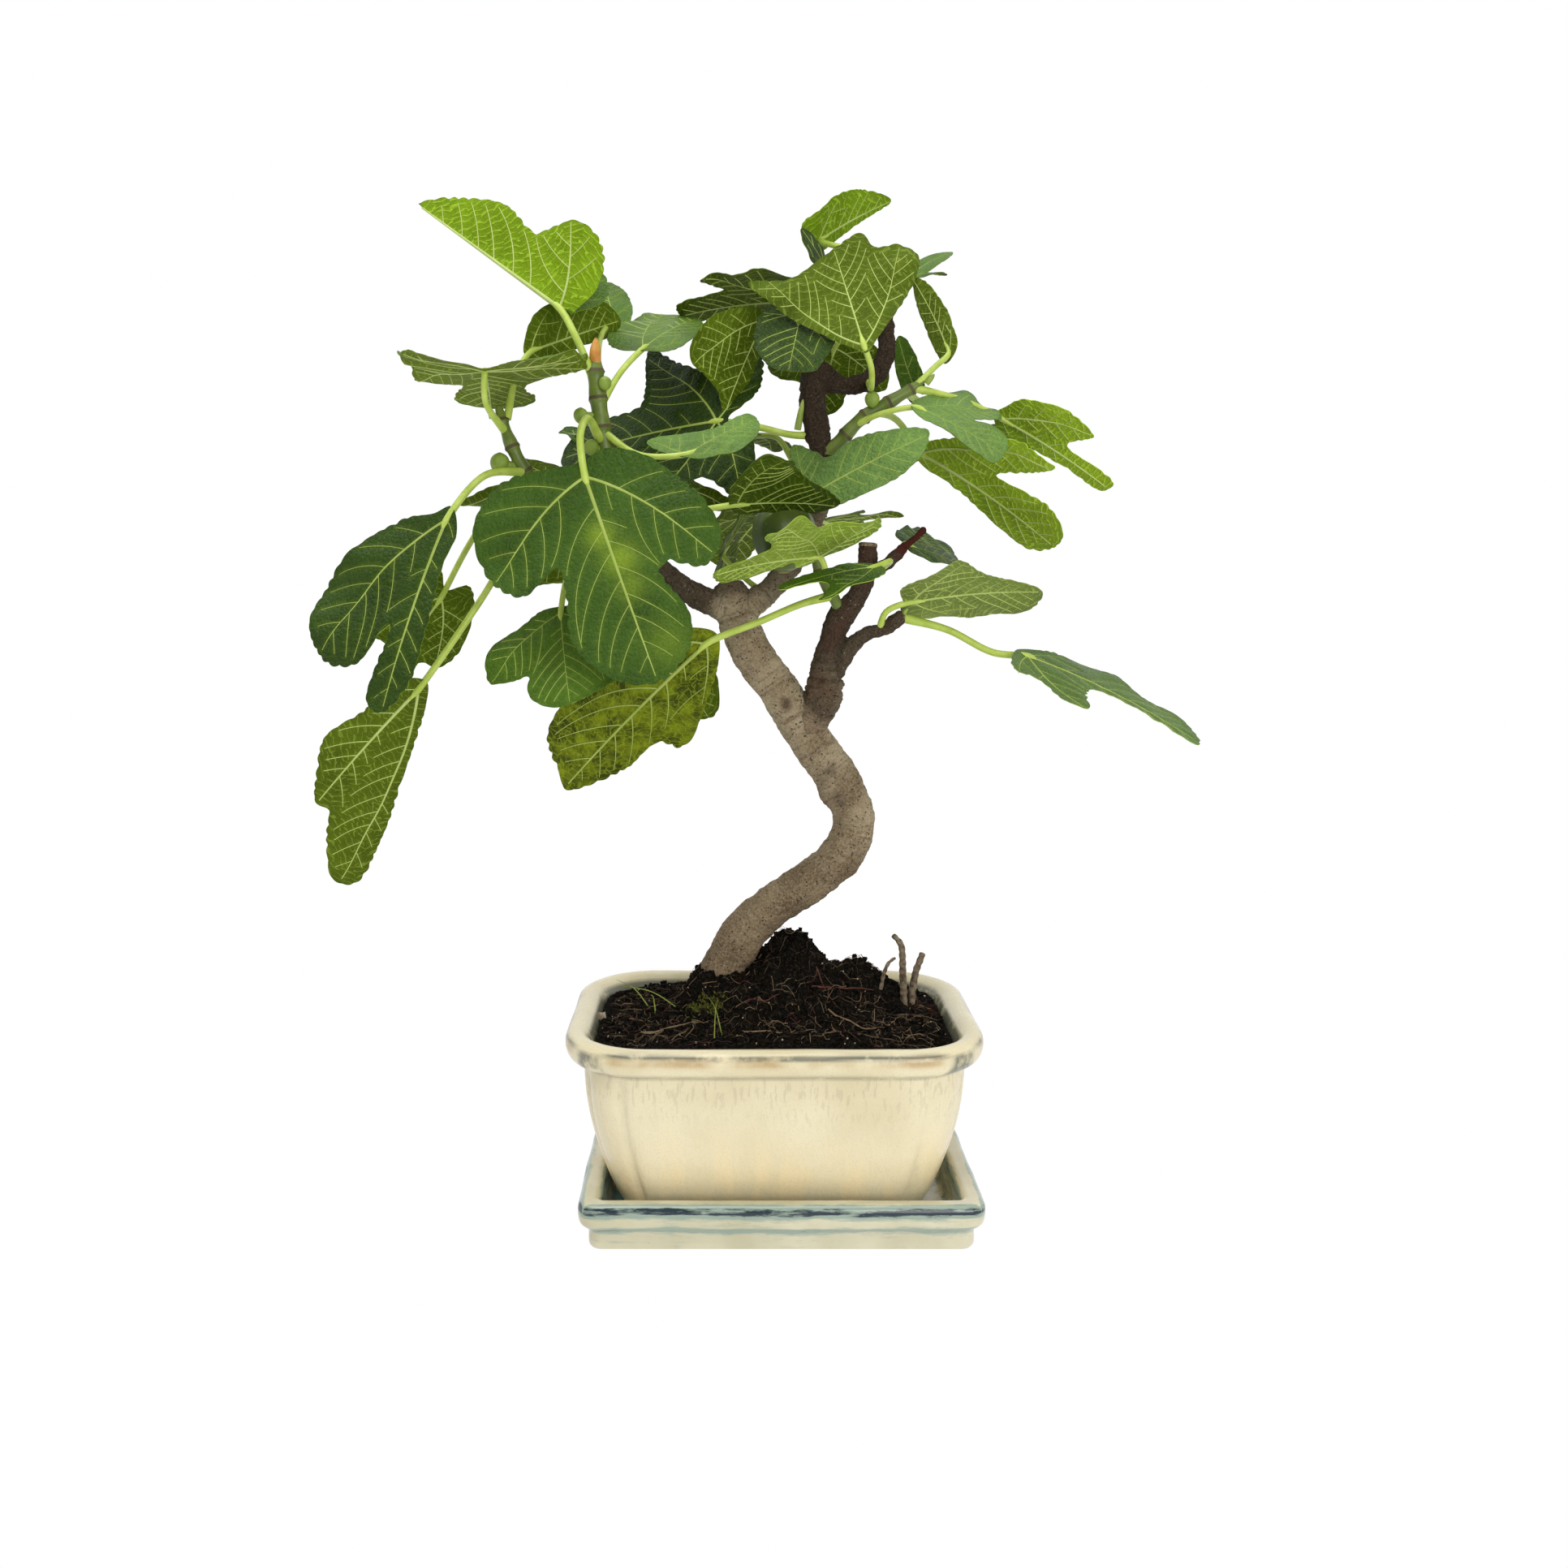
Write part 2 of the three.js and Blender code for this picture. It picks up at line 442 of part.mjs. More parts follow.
function limbSteps({ points }) {
  const curve = new THREE.CatmullRomCurve3(points.map((p) => new THREE.Vector3(...p)), false, "centripetal");
  return Math.max(2, Math.round(curve.getLength() / BOUGH_STEP));
}

function blade({ base, tip, face, outline, fold = 0, arch = 0.12, droop = 0.1, wide = 1 }, extra = 0) {
  const origin = new THREE.Vector3(...base);
  const along = new THREE.Vector3(...tip).sub(origin);
  const length = along.length();
  along.normalize();
  const up = new THREE.Vector3(...face);
  up.addScaledVector(along, -up.dot(along)).normalize();
  const across = new THREE.Vector3().crossVectors(up, along);
  const place = (degrees, r, lift) => {
    const turn = degrees < 0 ? THREE.MathUtils.degToRad(-fold) : 0;
    const side = across.clone().applyAxisAngle(along, turn);
    const rise = up.clone().applyAxisAngle(along, degrees === 0 || degrees === 180 ? turn / 2 : turn);
    const a = THREE.MathUtils.degToRad(degrees);
    const u = r * Math.cos(a);
    const v = r * Math.sin(a) * wide;
    const w = arch * u * (1 - u) - droop * v * v;
    return origin.clone().addScaledVector(along, u * length).addScaledVector(side, v * length)
      .addScaledVector(rise, w * length + lift);
  };
  const half = BLADE_THICKNESS / 2 + extra;
  const margin = extra / length;
  const rim = [...OUTLINES[outline], [180, NOTCH]];
  const edge = (lift) => rim.map(([degrees, r]) => place(degrees, r + margin, lift));
  return toSolid(loft([edge(-half), edge(half)], [place(0, 0, -half), place(0, 0, half)]));
}

// A petiole runs from the shoot to the blade's base and a little way in along its midrib
function petiole({ base, tip, petiole: way }, extra = 0) {
  const end = new THREE.Vector3(...base);
  const along = new THREE.Vector3(...tip).sub(end).normalize();
  end.addScaledVector(along, PETIOLE_SINK);
  const points = [...way, base, end.toArray()];
  const radii = points.map(() => PETIOLE_RADIUS);
  radii[radii.length - 1] = PETIOLE_TIP;
  return limb({ points, radii }, PETIOLE_SIDES, PETIOLE_STEPS, extra);
}

// A fig on the neck that joins it to its foot on the stem
function fig([x, y, z, radius, foot], extra = 0) {
  const geometry = new THREE.SphereGeometry(radius + extra, FIG.sides, FIG.rings);
  geometry.scale(1, 1, FIG.tall);
  const thickness = Math.min(FIG.neck * radius, PETIOLE_RADIUS);
  const neck = limb({ points: [foot, [x, y, z]], radii: [thickness, thickness] }, PETIOLE_SIDES, 1, extra);
  return toSolid(geometry.translate(x, y, z)).add(neck);
}

// Named meshes of the part
const part = new THREE.Group();
part.name = "fig_bonsai";

function add(name, solid, colour, roughness) {
  const material = new THREE.MeshStandardMaterial({ color: colour, roughness, metalness: 0 });
  const mesh = new THREE.Mesh(toGeometry(solid), material);
  mesh.name = name;
  part.add(mesh);
}

function saucer() {
  const { width, depth, corner, innerCorner } = SAUCER;
  return toSolid(loft(SAUCER_TURNS.map(([inset, z]) => (
    roundedRing(width - 2 * inset, depth - 2 * inset, Math.max(corner - inset, innerCorner), z)
  ))));
}

// The pot's wall at a share of the way from foot to lip: a bellied taper
function potWall(share, inset) {
  const swell = Math.sin((Math.PI / 2) * share) ** POT.bellySwell;
  const width = THREE.MathUtils.lerp(POT.footWidth, POT.bellyWidth, swell) - 2 * inset;
  const depth = THREE.MathUtils.lerp(POT.footDepth, POT.bellyDepth, swell) - 2 * inset;
  const corner = THREE.MathUtils.lerp(POT.footCorner, POT.bellyCorner, swell) - inset;
  return roundedRing(width, depth, corner, THREE.MathUtils.lerp(POT_FOOT, LIP_FOOT, share), POT.x);
}

const potRim = (inset, z) => roundedRing(
  POT.width - 2 * inset, POT.depth - 2 * inset, POT.corner - inset, z, POT.x,
);

const potInside = (clear) => POT_SHARES.slice(1).map((share) => potWall(share, POT.wall + clear));

const atHeight = (ring, z) => ring.map((p) => new THREE.Vector3(p.x, p.y, z));

function pot() {
  const outside = POT_SHARES.map((share) => potWall(share, 0));
  const rim = RIM_TURNS.map(([inset, z]) => potRim(inset, z));
  const inside = potInside(0).reverse();
  const floorRing = atHeight(inside[inside.length - 1], INSIDE);
  return toSolid(loft([...outside, ...rim, ...inside.slice(0, -1), floorRing]));
}

// The peat's height over its edge
const heapAt = (x, y) => SOIL_HEAPS.reduce(
  (z, [cx, cy, height, span]) => z + height * Math.exp(-(((x - cx) ** 2 + (y - cy) ** 2) / span ** 2)),
  SOIL_EDGE,
);

function soil() {
  const walls = potInside(GAP);
  const under = atHeight(walls[0], INSIDE + GAP);
  const rim = potRim(SOIL_INSET, SOIL_RIM);
  const edge = atHeight(rim, SOIL_EDGE);
  const top = [];
  for (let r = 1; r < SOIL_RINGS; r += 1) {
    const share = 1 - r / SOIL_RINGS;
    top.push(edge.map((p) => {
      const x = POT.x + (p.x - POT.x) * share;
      const y = p.y * share;
      return new THREE.Vector3(x, y, heapAt(x, y));
    }));
  }
  const peat = toSolid(loft([under, ...walls.slice(1), rim, edge, ...top]));
  return cutSeats(peat);
}

const stubSolid = (stub, extra) => limb(stub, STUB_SIDES, STUB_STEPS, extra);

// A flat seat for the trunk and sockets for the stubs, each a little larger than what stands in it
function cutSeats(peat) {
  const [x, y] = TRUNK.points[0];
  const top = TRUNK.radii[0] + SEAT.clearTop;
  const bottom = TRUNK.radii[0] + SEAT.clearBottom;
  const seat = new THREE.CylinderGeometry(top, bottom, SEAT.height, SEAT.sides);
  seat.rotateX(Math.PI / 2);
  seat.translate(x, y, TRUNK_FOOT - GAP + SEAT.height / 2);
  let cut = peat.subtract(toSolid(seat));
  for (const stub of Object.values(STUBS)) {
    cut = cut.subtract(stubSolid(stub, WOOD_CLEAR));
  }
  return largest(cut);
}

add("saucer", saucer(), COLOURS.saucerGlaze, 0.25);
add("pot", pot(), COLOURS.glaze, 0.22);
add("soil", soil(), COLOURS.soil, 1);
const trunkWith = (extra) => limb(TRUNK, TRUNK_SIDES, TRUNK_RINGS, extra, true);
add("trunk", trunkWith(0), COLOURS.bark, 0.85);

// Each limb's own solid grown by the gap, for cutting what meets it
const woods = { trunk: trunkWith(WOOD_CLEAR) };
for (const [name, bough] of Object.entries(BOUGHS)) {
  const grow = (extra) => limb(bough, BOUGH_SIDES, limbSteps(bough), extra);
  woods[name] = grow(WOOD_CLEAR);
  const cut = bough.on.reduce((solid, carrier) => solid.subtract(woods[carrier]), grow(0));
  add(name, largest(cut), COLOURS.darkBark, 0.85);
}
for (const [name, stub] of Object.entries(STUBS)) {
  add(name, stubSolid(stub, 0), COLOURS.darkBark, 0.9);
}

// A shoot's stem, petioles, blades and young figs joined in one solid, all of them grown by extra
function shootSolid({ stem, leaves, figs = [] }, extra = 0) {
  const pieces = leaves.flatMap((one) => [blade(one, extra), petiole(one, extra)]);
  if (stem) pieces.push(limb(stem, STEM_SIDES, STEM_RINGS, extra));
  pieces.push(...figs.map((one) => fig(one, extra)));
  return pieces.reduce((sum, piece) => sum.add(piece));
}

// Shoots keep clear of the wood and of the shoots before them
const taken = Object.values(woods);
for (const [name, shoot] of Object.entries(SHOOTS)) {
  const cut = taken.reduce((solid, other) => solid.subtract(other), shootSolid(shoot));
  add(name, largest(cut), COLOURS.leaf, 0.6);
  taken.push(shootSolid(shoot, WOOD_CLEAR));
}

export default part;
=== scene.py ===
"""Common fig bonsai in its glazed pot, on a saucer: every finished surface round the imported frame.

Sizes and places are millimetres, with +X to the right, +Y away from the front and +Z up. Each piece is
turned into metres when it is made.
"""

import math

import bpy
import numpy as np
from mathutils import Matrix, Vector, geometry, noise


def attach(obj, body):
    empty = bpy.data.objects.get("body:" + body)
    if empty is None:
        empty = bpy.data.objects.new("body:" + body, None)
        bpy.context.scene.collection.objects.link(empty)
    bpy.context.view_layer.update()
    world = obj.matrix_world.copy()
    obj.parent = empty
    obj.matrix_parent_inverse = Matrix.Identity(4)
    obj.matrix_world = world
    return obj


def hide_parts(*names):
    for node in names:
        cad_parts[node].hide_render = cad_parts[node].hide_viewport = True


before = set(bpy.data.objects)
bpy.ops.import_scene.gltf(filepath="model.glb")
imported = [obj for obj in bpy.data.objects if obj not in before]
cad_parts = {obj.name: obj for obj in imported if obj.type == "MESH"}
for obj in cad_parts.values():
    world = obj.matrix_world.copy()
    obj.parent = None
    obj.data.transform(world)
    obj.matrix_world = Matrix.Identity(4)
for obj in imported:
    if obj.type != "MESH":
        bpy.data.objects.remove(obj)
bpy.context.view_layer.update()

MM = 0.001
SEED = 11

# The camera: focal length in pixels of the square picture, and where its axis falls across it
PICTURE = 1932
FOCAL_PIXELS = 1800
AXIS_PIXEL = 900
SENSOR = 36
EYE = (-25, -744.5, 328)
PITCH_DOWN = 8.2

# The room is white where it lies behind the tree, and dimmer where the direction turns to the front
ROOM_TURN = (-0.1, 0.35)
ROOM_DIM = 0.45

# Saucer: a shallow square-cornered tray
SAUCER = {"width": 200, "depth": 150, "corner": 10, "height": 25, "lip": 11, "foot_inset": 6, "floor": 8}
WAIST = 0.44 * SAUCER["height"]

# Pot: a rounded rectangle with a rolled rim, set a little to the left on the saucer. Its wall stands in
# from the rim, and its glaze has one pinhole
POT = {
    "x": -3, "width": 210, "depth": 152, "corner": 42, "rim": 102, "lip_height": 14,
    "foot_width": 152, "foot_depth": 100, "foot_corner": 24, "wall": 7, "floor": 9,
}
POT_FOOT = 8.3
LIP_FOOT = POT["rim"] - POT["lip_height"]
WALL_INSET = 9
PINHOLE = (67.5, -56, 36)

# Peat heaped towards the trunk: [x, y, height above the edge, reach]
SOIL_EDGE = 95
SOIL_INSET = 15.2
SOIL_BOTTOM = 70
SOIL_HEAPS = [[0, 0, 14, 62], [8, 14, 26, 22], [48, 16, 16, 20], [-26, 14, 10, 24]]

# Limbs, each with its points and its radii. The trunk is an S curve from its flat cut at soil level to
# the fork
TRUNK_FOOT = 117
TRUNK = (
    [[-27, 15, TRUNK_FOOT], [-25, 14, 125], [-18, 11, 139], [-5, 8, 153], [16, 5, 168], [34, 4, 185],
        [39, 5, 201], [32, 6, 220], [15, 6, 245], [-2, 5, 271], [-14, 5, 288], [-22, 6, 306], [-25, 6, 319]],
    [15, 12.6, 11.8, 11.2, 11, 11.2, 10.6, 10.8, 10.8, 10.2, 10.6, 10, 8.6],
)
BOUGHS = {
    "left_bough": (
        [[-24, 5, 308], [-46, 1, 319], [-65, -3, 334], [-78, -10, 352], [-84, -15, 370]],
        [7, 6, 5.6, 5, 4.4],
    ),
    "far_left_bough": (
        [[-68, -4, 338], [-84, -6, 348], [-102, -11, 357], [-119, -17, 366]],
        [4.6, 4, 3.8, 3.6],
    ),
    "middle_bough": (
        [[-18, 6, 309], [-4, 8, 320], [6, 8, 333], [16, 8, 352], [22, 8, 374]],
        [7, 6.2, 5.6, 5.6, 5.8],
    ),
    "upper_bough": (
        [[22.5, 8, 377], [21, 8, 388], [18, 8, 402], [16, 8, 417], [20, 8, 431]],
        [5.8, 6, 5.8, 6.6, 8.6],
    ),
    "top_bough": (
        [[22, 8, 424], [36, 8, 421], [48, 8, 427], [53, 8, 438], [52, 9, 452], [51, 10, 464]],
        [5, 4.6, 4.6, 4.4, 4, 3.6],
    ),
    "right_bough": (
        [[14, 4, 248], [22, 0, 266], [25, 0, 290], [31, 0, 306], [38, 0, 315], [43, 0, 326], [44, 0, 343]],
        [8.6, 8, 6.2, 6.6, 5.6, 4.8, 4.6],
    ),
    "side_bough": (
        [[28, -1, 278], [37, -4, 292], [44, -4, 298], [52, -4, 300], [62, -4, 307]],
        [4.6, 4.2, 3.8, 3.6, 3.2],
    ),
    "right_twig": (
        [[43, 0, 327], [53, -2, 332], [61, -2, 340], [67, -2, 345], [72, -2, 350]],
        [3.6, 2.8, 2.4, 1.6, 0.9],
    ),
}

# Dead stubs that stand in the soil, and a bent twig beside them
STUBS = {
    "tall_stub": ([[67, 4, 98], [66, 5, 120], [65, 7, 134], [61, 7, 139]], [2, 1.8, 1.6, 1.2]),
    "short_stub": ([[71, 10, 95], [73, 10, 116], [77, 11, 128]], [2, 1.8, 1.6]),
}
BENT_TWIG = ([[53, 3, 104], [55, 3, 115], [58, 5, 124], [62, 6, 127]], [1.1, 1.0, 0.9, 0.6])


def mirrored(turns):
    """A whole outline from the turns on its left, with the tip at the full reach."""
    return [*([-degrees, reach] for degrees, reach in turns[::-1]), [0, 1], *turns]


# Blade outlines, each the turns of one leaf's margin as [degrees off the midrib, reach], going round
# from the right of the petiole to its left, with the reach in midrib lengths
OUTLINES = {
    "five": mirrored([[12, 0.9], [24, 0.55], [36, 0.6], [54, 0.86], [80, 0.4], [108, 0.58], [140, 0.3]]),
    "three": mirrored([[14, 0.88], [26, 0.64], [44, 0.76], [60, 0.78], [95, 0.5], [130, 0.3]]),
    "oval": mirrored([[16, 0.92], [40, 0.72], [80, 0.5], [125, 0.32]]),
    "slim": mirrored([[5, 0.92], [14, 0.68], [40, 0.3], [100, 0.14]]),
    "top_left": mirrored([[14, 0.78], [24, 0.63], [33, 0.42], [46, 0.42], [62, 0.44], [80, 0.4], [98, 0.32],
        [120, 0.2]]),
    "front": [[-125, 0.16], [-106, 0.4], [-84, 0.57], [-62, 0.64], [-46, 0.62], [-35, 0.44], [-28, 0.54],
        [-23, 0.77], [-11, 0.94], [0, 1], [11, 0.93], [17.5, 0.8], [18.5, 0.56], [24, 0.55], [33, 0.69],
        [46, 0.68], [57, 0.57], [71, 0.41], [90, 0.29], [125, 0.16]],
    "left_hung": [[-100, 0.08], [-78, 0.25], [-57, 0.6], [-42, 0.87], [-27, 0.94], [-15, 0.83],
        [-11, 0.58], [-8, 0.6], [-6, 0.97], [0, 1], [7, 0.85], [12, 0.56], [18, 0.27], [60, 0.1]],
    "left_low": [[-60, 0.12], [-34, 0.4], [-28, 0.78], [-25, 1.15], [-21, 1.38], [-16, 1.38], [-9, 1.12],
        [-5, 0.97], [0, 0.97], [9, 0.8], [21, 0.62], [25, 0.36], [80, 0.12]],
    "tilted": [[-96, 0.13], [-70, 0.26], [-54, 0.38], [-39, 0.52], [-30, 0.66], [-22, 0.78], [-11, 0.92],
        [0, 1], [6, 0.93], [10, 0.62], [24, 0.3], [70, 0.12]],
    "edge_on": [[-90, 0.23], [-27, 0.66], [0, 1.05], [13, 1.2], [22, 1.25], [40, 0.88], [79, 0.42],
        [120, 0.2]],
    "spread": [[-151, 0.4], [-143, 0.67], [-120, 0.77], [-69, 0.8], [-45, 0.64], [-28, 0.62], [-21, 1],
        [0, 1.03], [17, 0.96], [22, 0.56], [43, 0.8], [70, 0.62], [101, 0.65], [133, 0.71], [148, 0.3]],
    "under_front": [[-110, 0.2], [-84, 0.4], [-76, 0.72], [-55, 0.93], [-40, 0.8], [-31, 0.7], [-25, 0.88],
        [-10, 0.98], [5, 0.96], [29, 0.93], [62, 0.82], [90, 0.3]],
    "lowest": [[-80, 0.12], [-50, 0.3], [-35, 0.57], [-22, 0.57], [-14, 0.75], [-1, 1], [5, 0.95],
        [11, 0.92], [17, 0.88], [26, 0.73], [46, 0.44], [80, 0.15]],
    "fan": [[-75, 0.12], [-54, 0.4], [-48, 0.75], [-41, 1.28], [-31, 1.03], [-25, 0.97], [0, 1],
        [15, 1.08], [22, 0.95], [36, 1], [50, 0.92], [57, 0.6], [75, 0.15]],
    "hanging": [[-70, 0.1], [-24, 0.32], [-10, 0.7], [0, 1], [10, 0.86], [24, 0.85], [38, 0.92],
        [58, 0.74], [92, 0.25]],
    "swept": [[-60, 0.15], [-16, 0.55], [-8, 0.95], [9, 0.98], [20, 0.72], [30, 0.56], [42, 0.8],
        [61, 0.67], [84, 0.6], [116, 0.49], [145, 0.2]],
    "cut_right": [[-70, 0.15], [-24, 0.45], [-15, 1], [1, 1.02], [24, 0.95], [28, 0.62], [38, 0.95],
        [47, 0.99], [74, 0.82], [100, 0.25]],
    "forked": [[-104, 0.12], [-82, 0.26], [-56, 0.45], [-29, 0.71], [-18, 0.55], [-10, 0.52], [-4, 0.95],
        [4, 0.92], [9, 0.58], [25, 0.28], [80, 0.12]],
    "long_forked": [[-90, 0.1], [-63, 0.27], [-48, 0.75], [-39, 0.97], [-31, 0.7], [-21, 0.5], [-17, 0.85],
        [-8, 1], [1, 0.99], [13, 0.86], [18, 0.55], [28, 0.25], [80, 0.1]],
    "folded_right": [[-80, 0.15], [-38, 0.37], [-18, 0.74], [-8, 0.94], [2, 1.02], [17, 0.72], [31, 0.52],
        [44, 0.32], [70, 0.38], [92, 0.52], [115, 0.25]],
    "raised": [[-120, 0.3], [-94, 0.85], [-77, 0.9], [-60, 0.72], [-46, 0.68], [-20, 0.8], [-2, 1],
        [10, 0.85], [20, 0.5], [70, 0.18]],
    "winged": [[-70, 0.18], [-28, 0.35], [-20, 0.79], [-6, 0.95], [2, 1], [12, 0.75], [24, 0.62],
        [41, 1.12], [55, 1.06], [69, 0.66], [85, 0.67], [100, 0.76], [121, 0.6], [145, 0.25]],
    "small_cut": [[-80, 0.2], [-44, 0.5], [-30, 0.66], [-8, 0.88], [9, 0.97], [18, 0.5], [35, 0.4],
        [60, 0.42], [82, 0.46], [100, 0.56], [130, 0.2]],
    "two_tipped": [[-60, 0.15], [-10, 0.6], [-4, 0.95], [0, 1], [9, 0.64], [17, 0.65], [24, 0.95],
        [31, 0.6], [80, 0.2]],
    "blunt": [[-110, 0.2], [-63, 0.35], [-20, 0.6], [0, 1], [16, 1.1], [38, 1.5], [52, 1.42], [70, 0.73],
        [120, 0.25]],
    "waved": [[-114, 0.22], [-76, 0.34], [-57, 0.62], [-38, 0.6], [-17, 0.7], [-8, 0.85], [0, 1],
        [15, 0.98], [29, 0.74], [42, 0.5], [75, 0.3], [125, 0.15]],
    "drooping": [[-109, 0.31], [-84, 0.27], [-70, 0.47], [-62, 0.53], [-44, 0.38], [-20, 0.36], [-10, 0.45],
        [-8, 0.6], [-7, 0.8], [-6, 0.95], [0, 1], [5, 1], [14, 0.95], [18, 0.84], [20, 0.7], [29, 0.65],
        [33, 0.54], [40, 0.44], [50, 0.3], [65, 0.16], [100, 0.08]],
    "lit": [[-135, 0.35], [-81, 0.3], [-40, 0.5], [-15, 0.75], [0, 1], [7, 0.6], [20, 0.32], [90, 0.12]],
    "round": [[-115, 0.55], [-60, 0.65], [-36, 0.85], [-13, 1.05], [18, 1.03], [40, 0.75], [62, 0.6],
        [110, 0.35]],
}

# How far the margin stays from the petiole where the outline closes, in midrib lengths
NOTCH = 0.07


def leaf(base, tip, face, outline, way, tones="deep olive", **shape):
    """A leaf: its blade's base and tip, which way the upper face looks, its outline, the petiole's way
    from the shoot to the base, and the tones of its upper face and its underside. fold turns the right
    half up about the midrib by degrees, arch humps the midrib, droop lowers the sides, wide stretches
    the blade across, wave ripples it, and each of spots is a paler place: [along, across, size, strength]."""
    made = {"fold": 0, "arch": 0.12, "droop": 0.1, "wide": 1, "wave": 0.05, "spots": ()}
    made.update(base=base, tip=tip, face=face, outline=outline, way=way, tones=tones.split(), **shape)
    return made


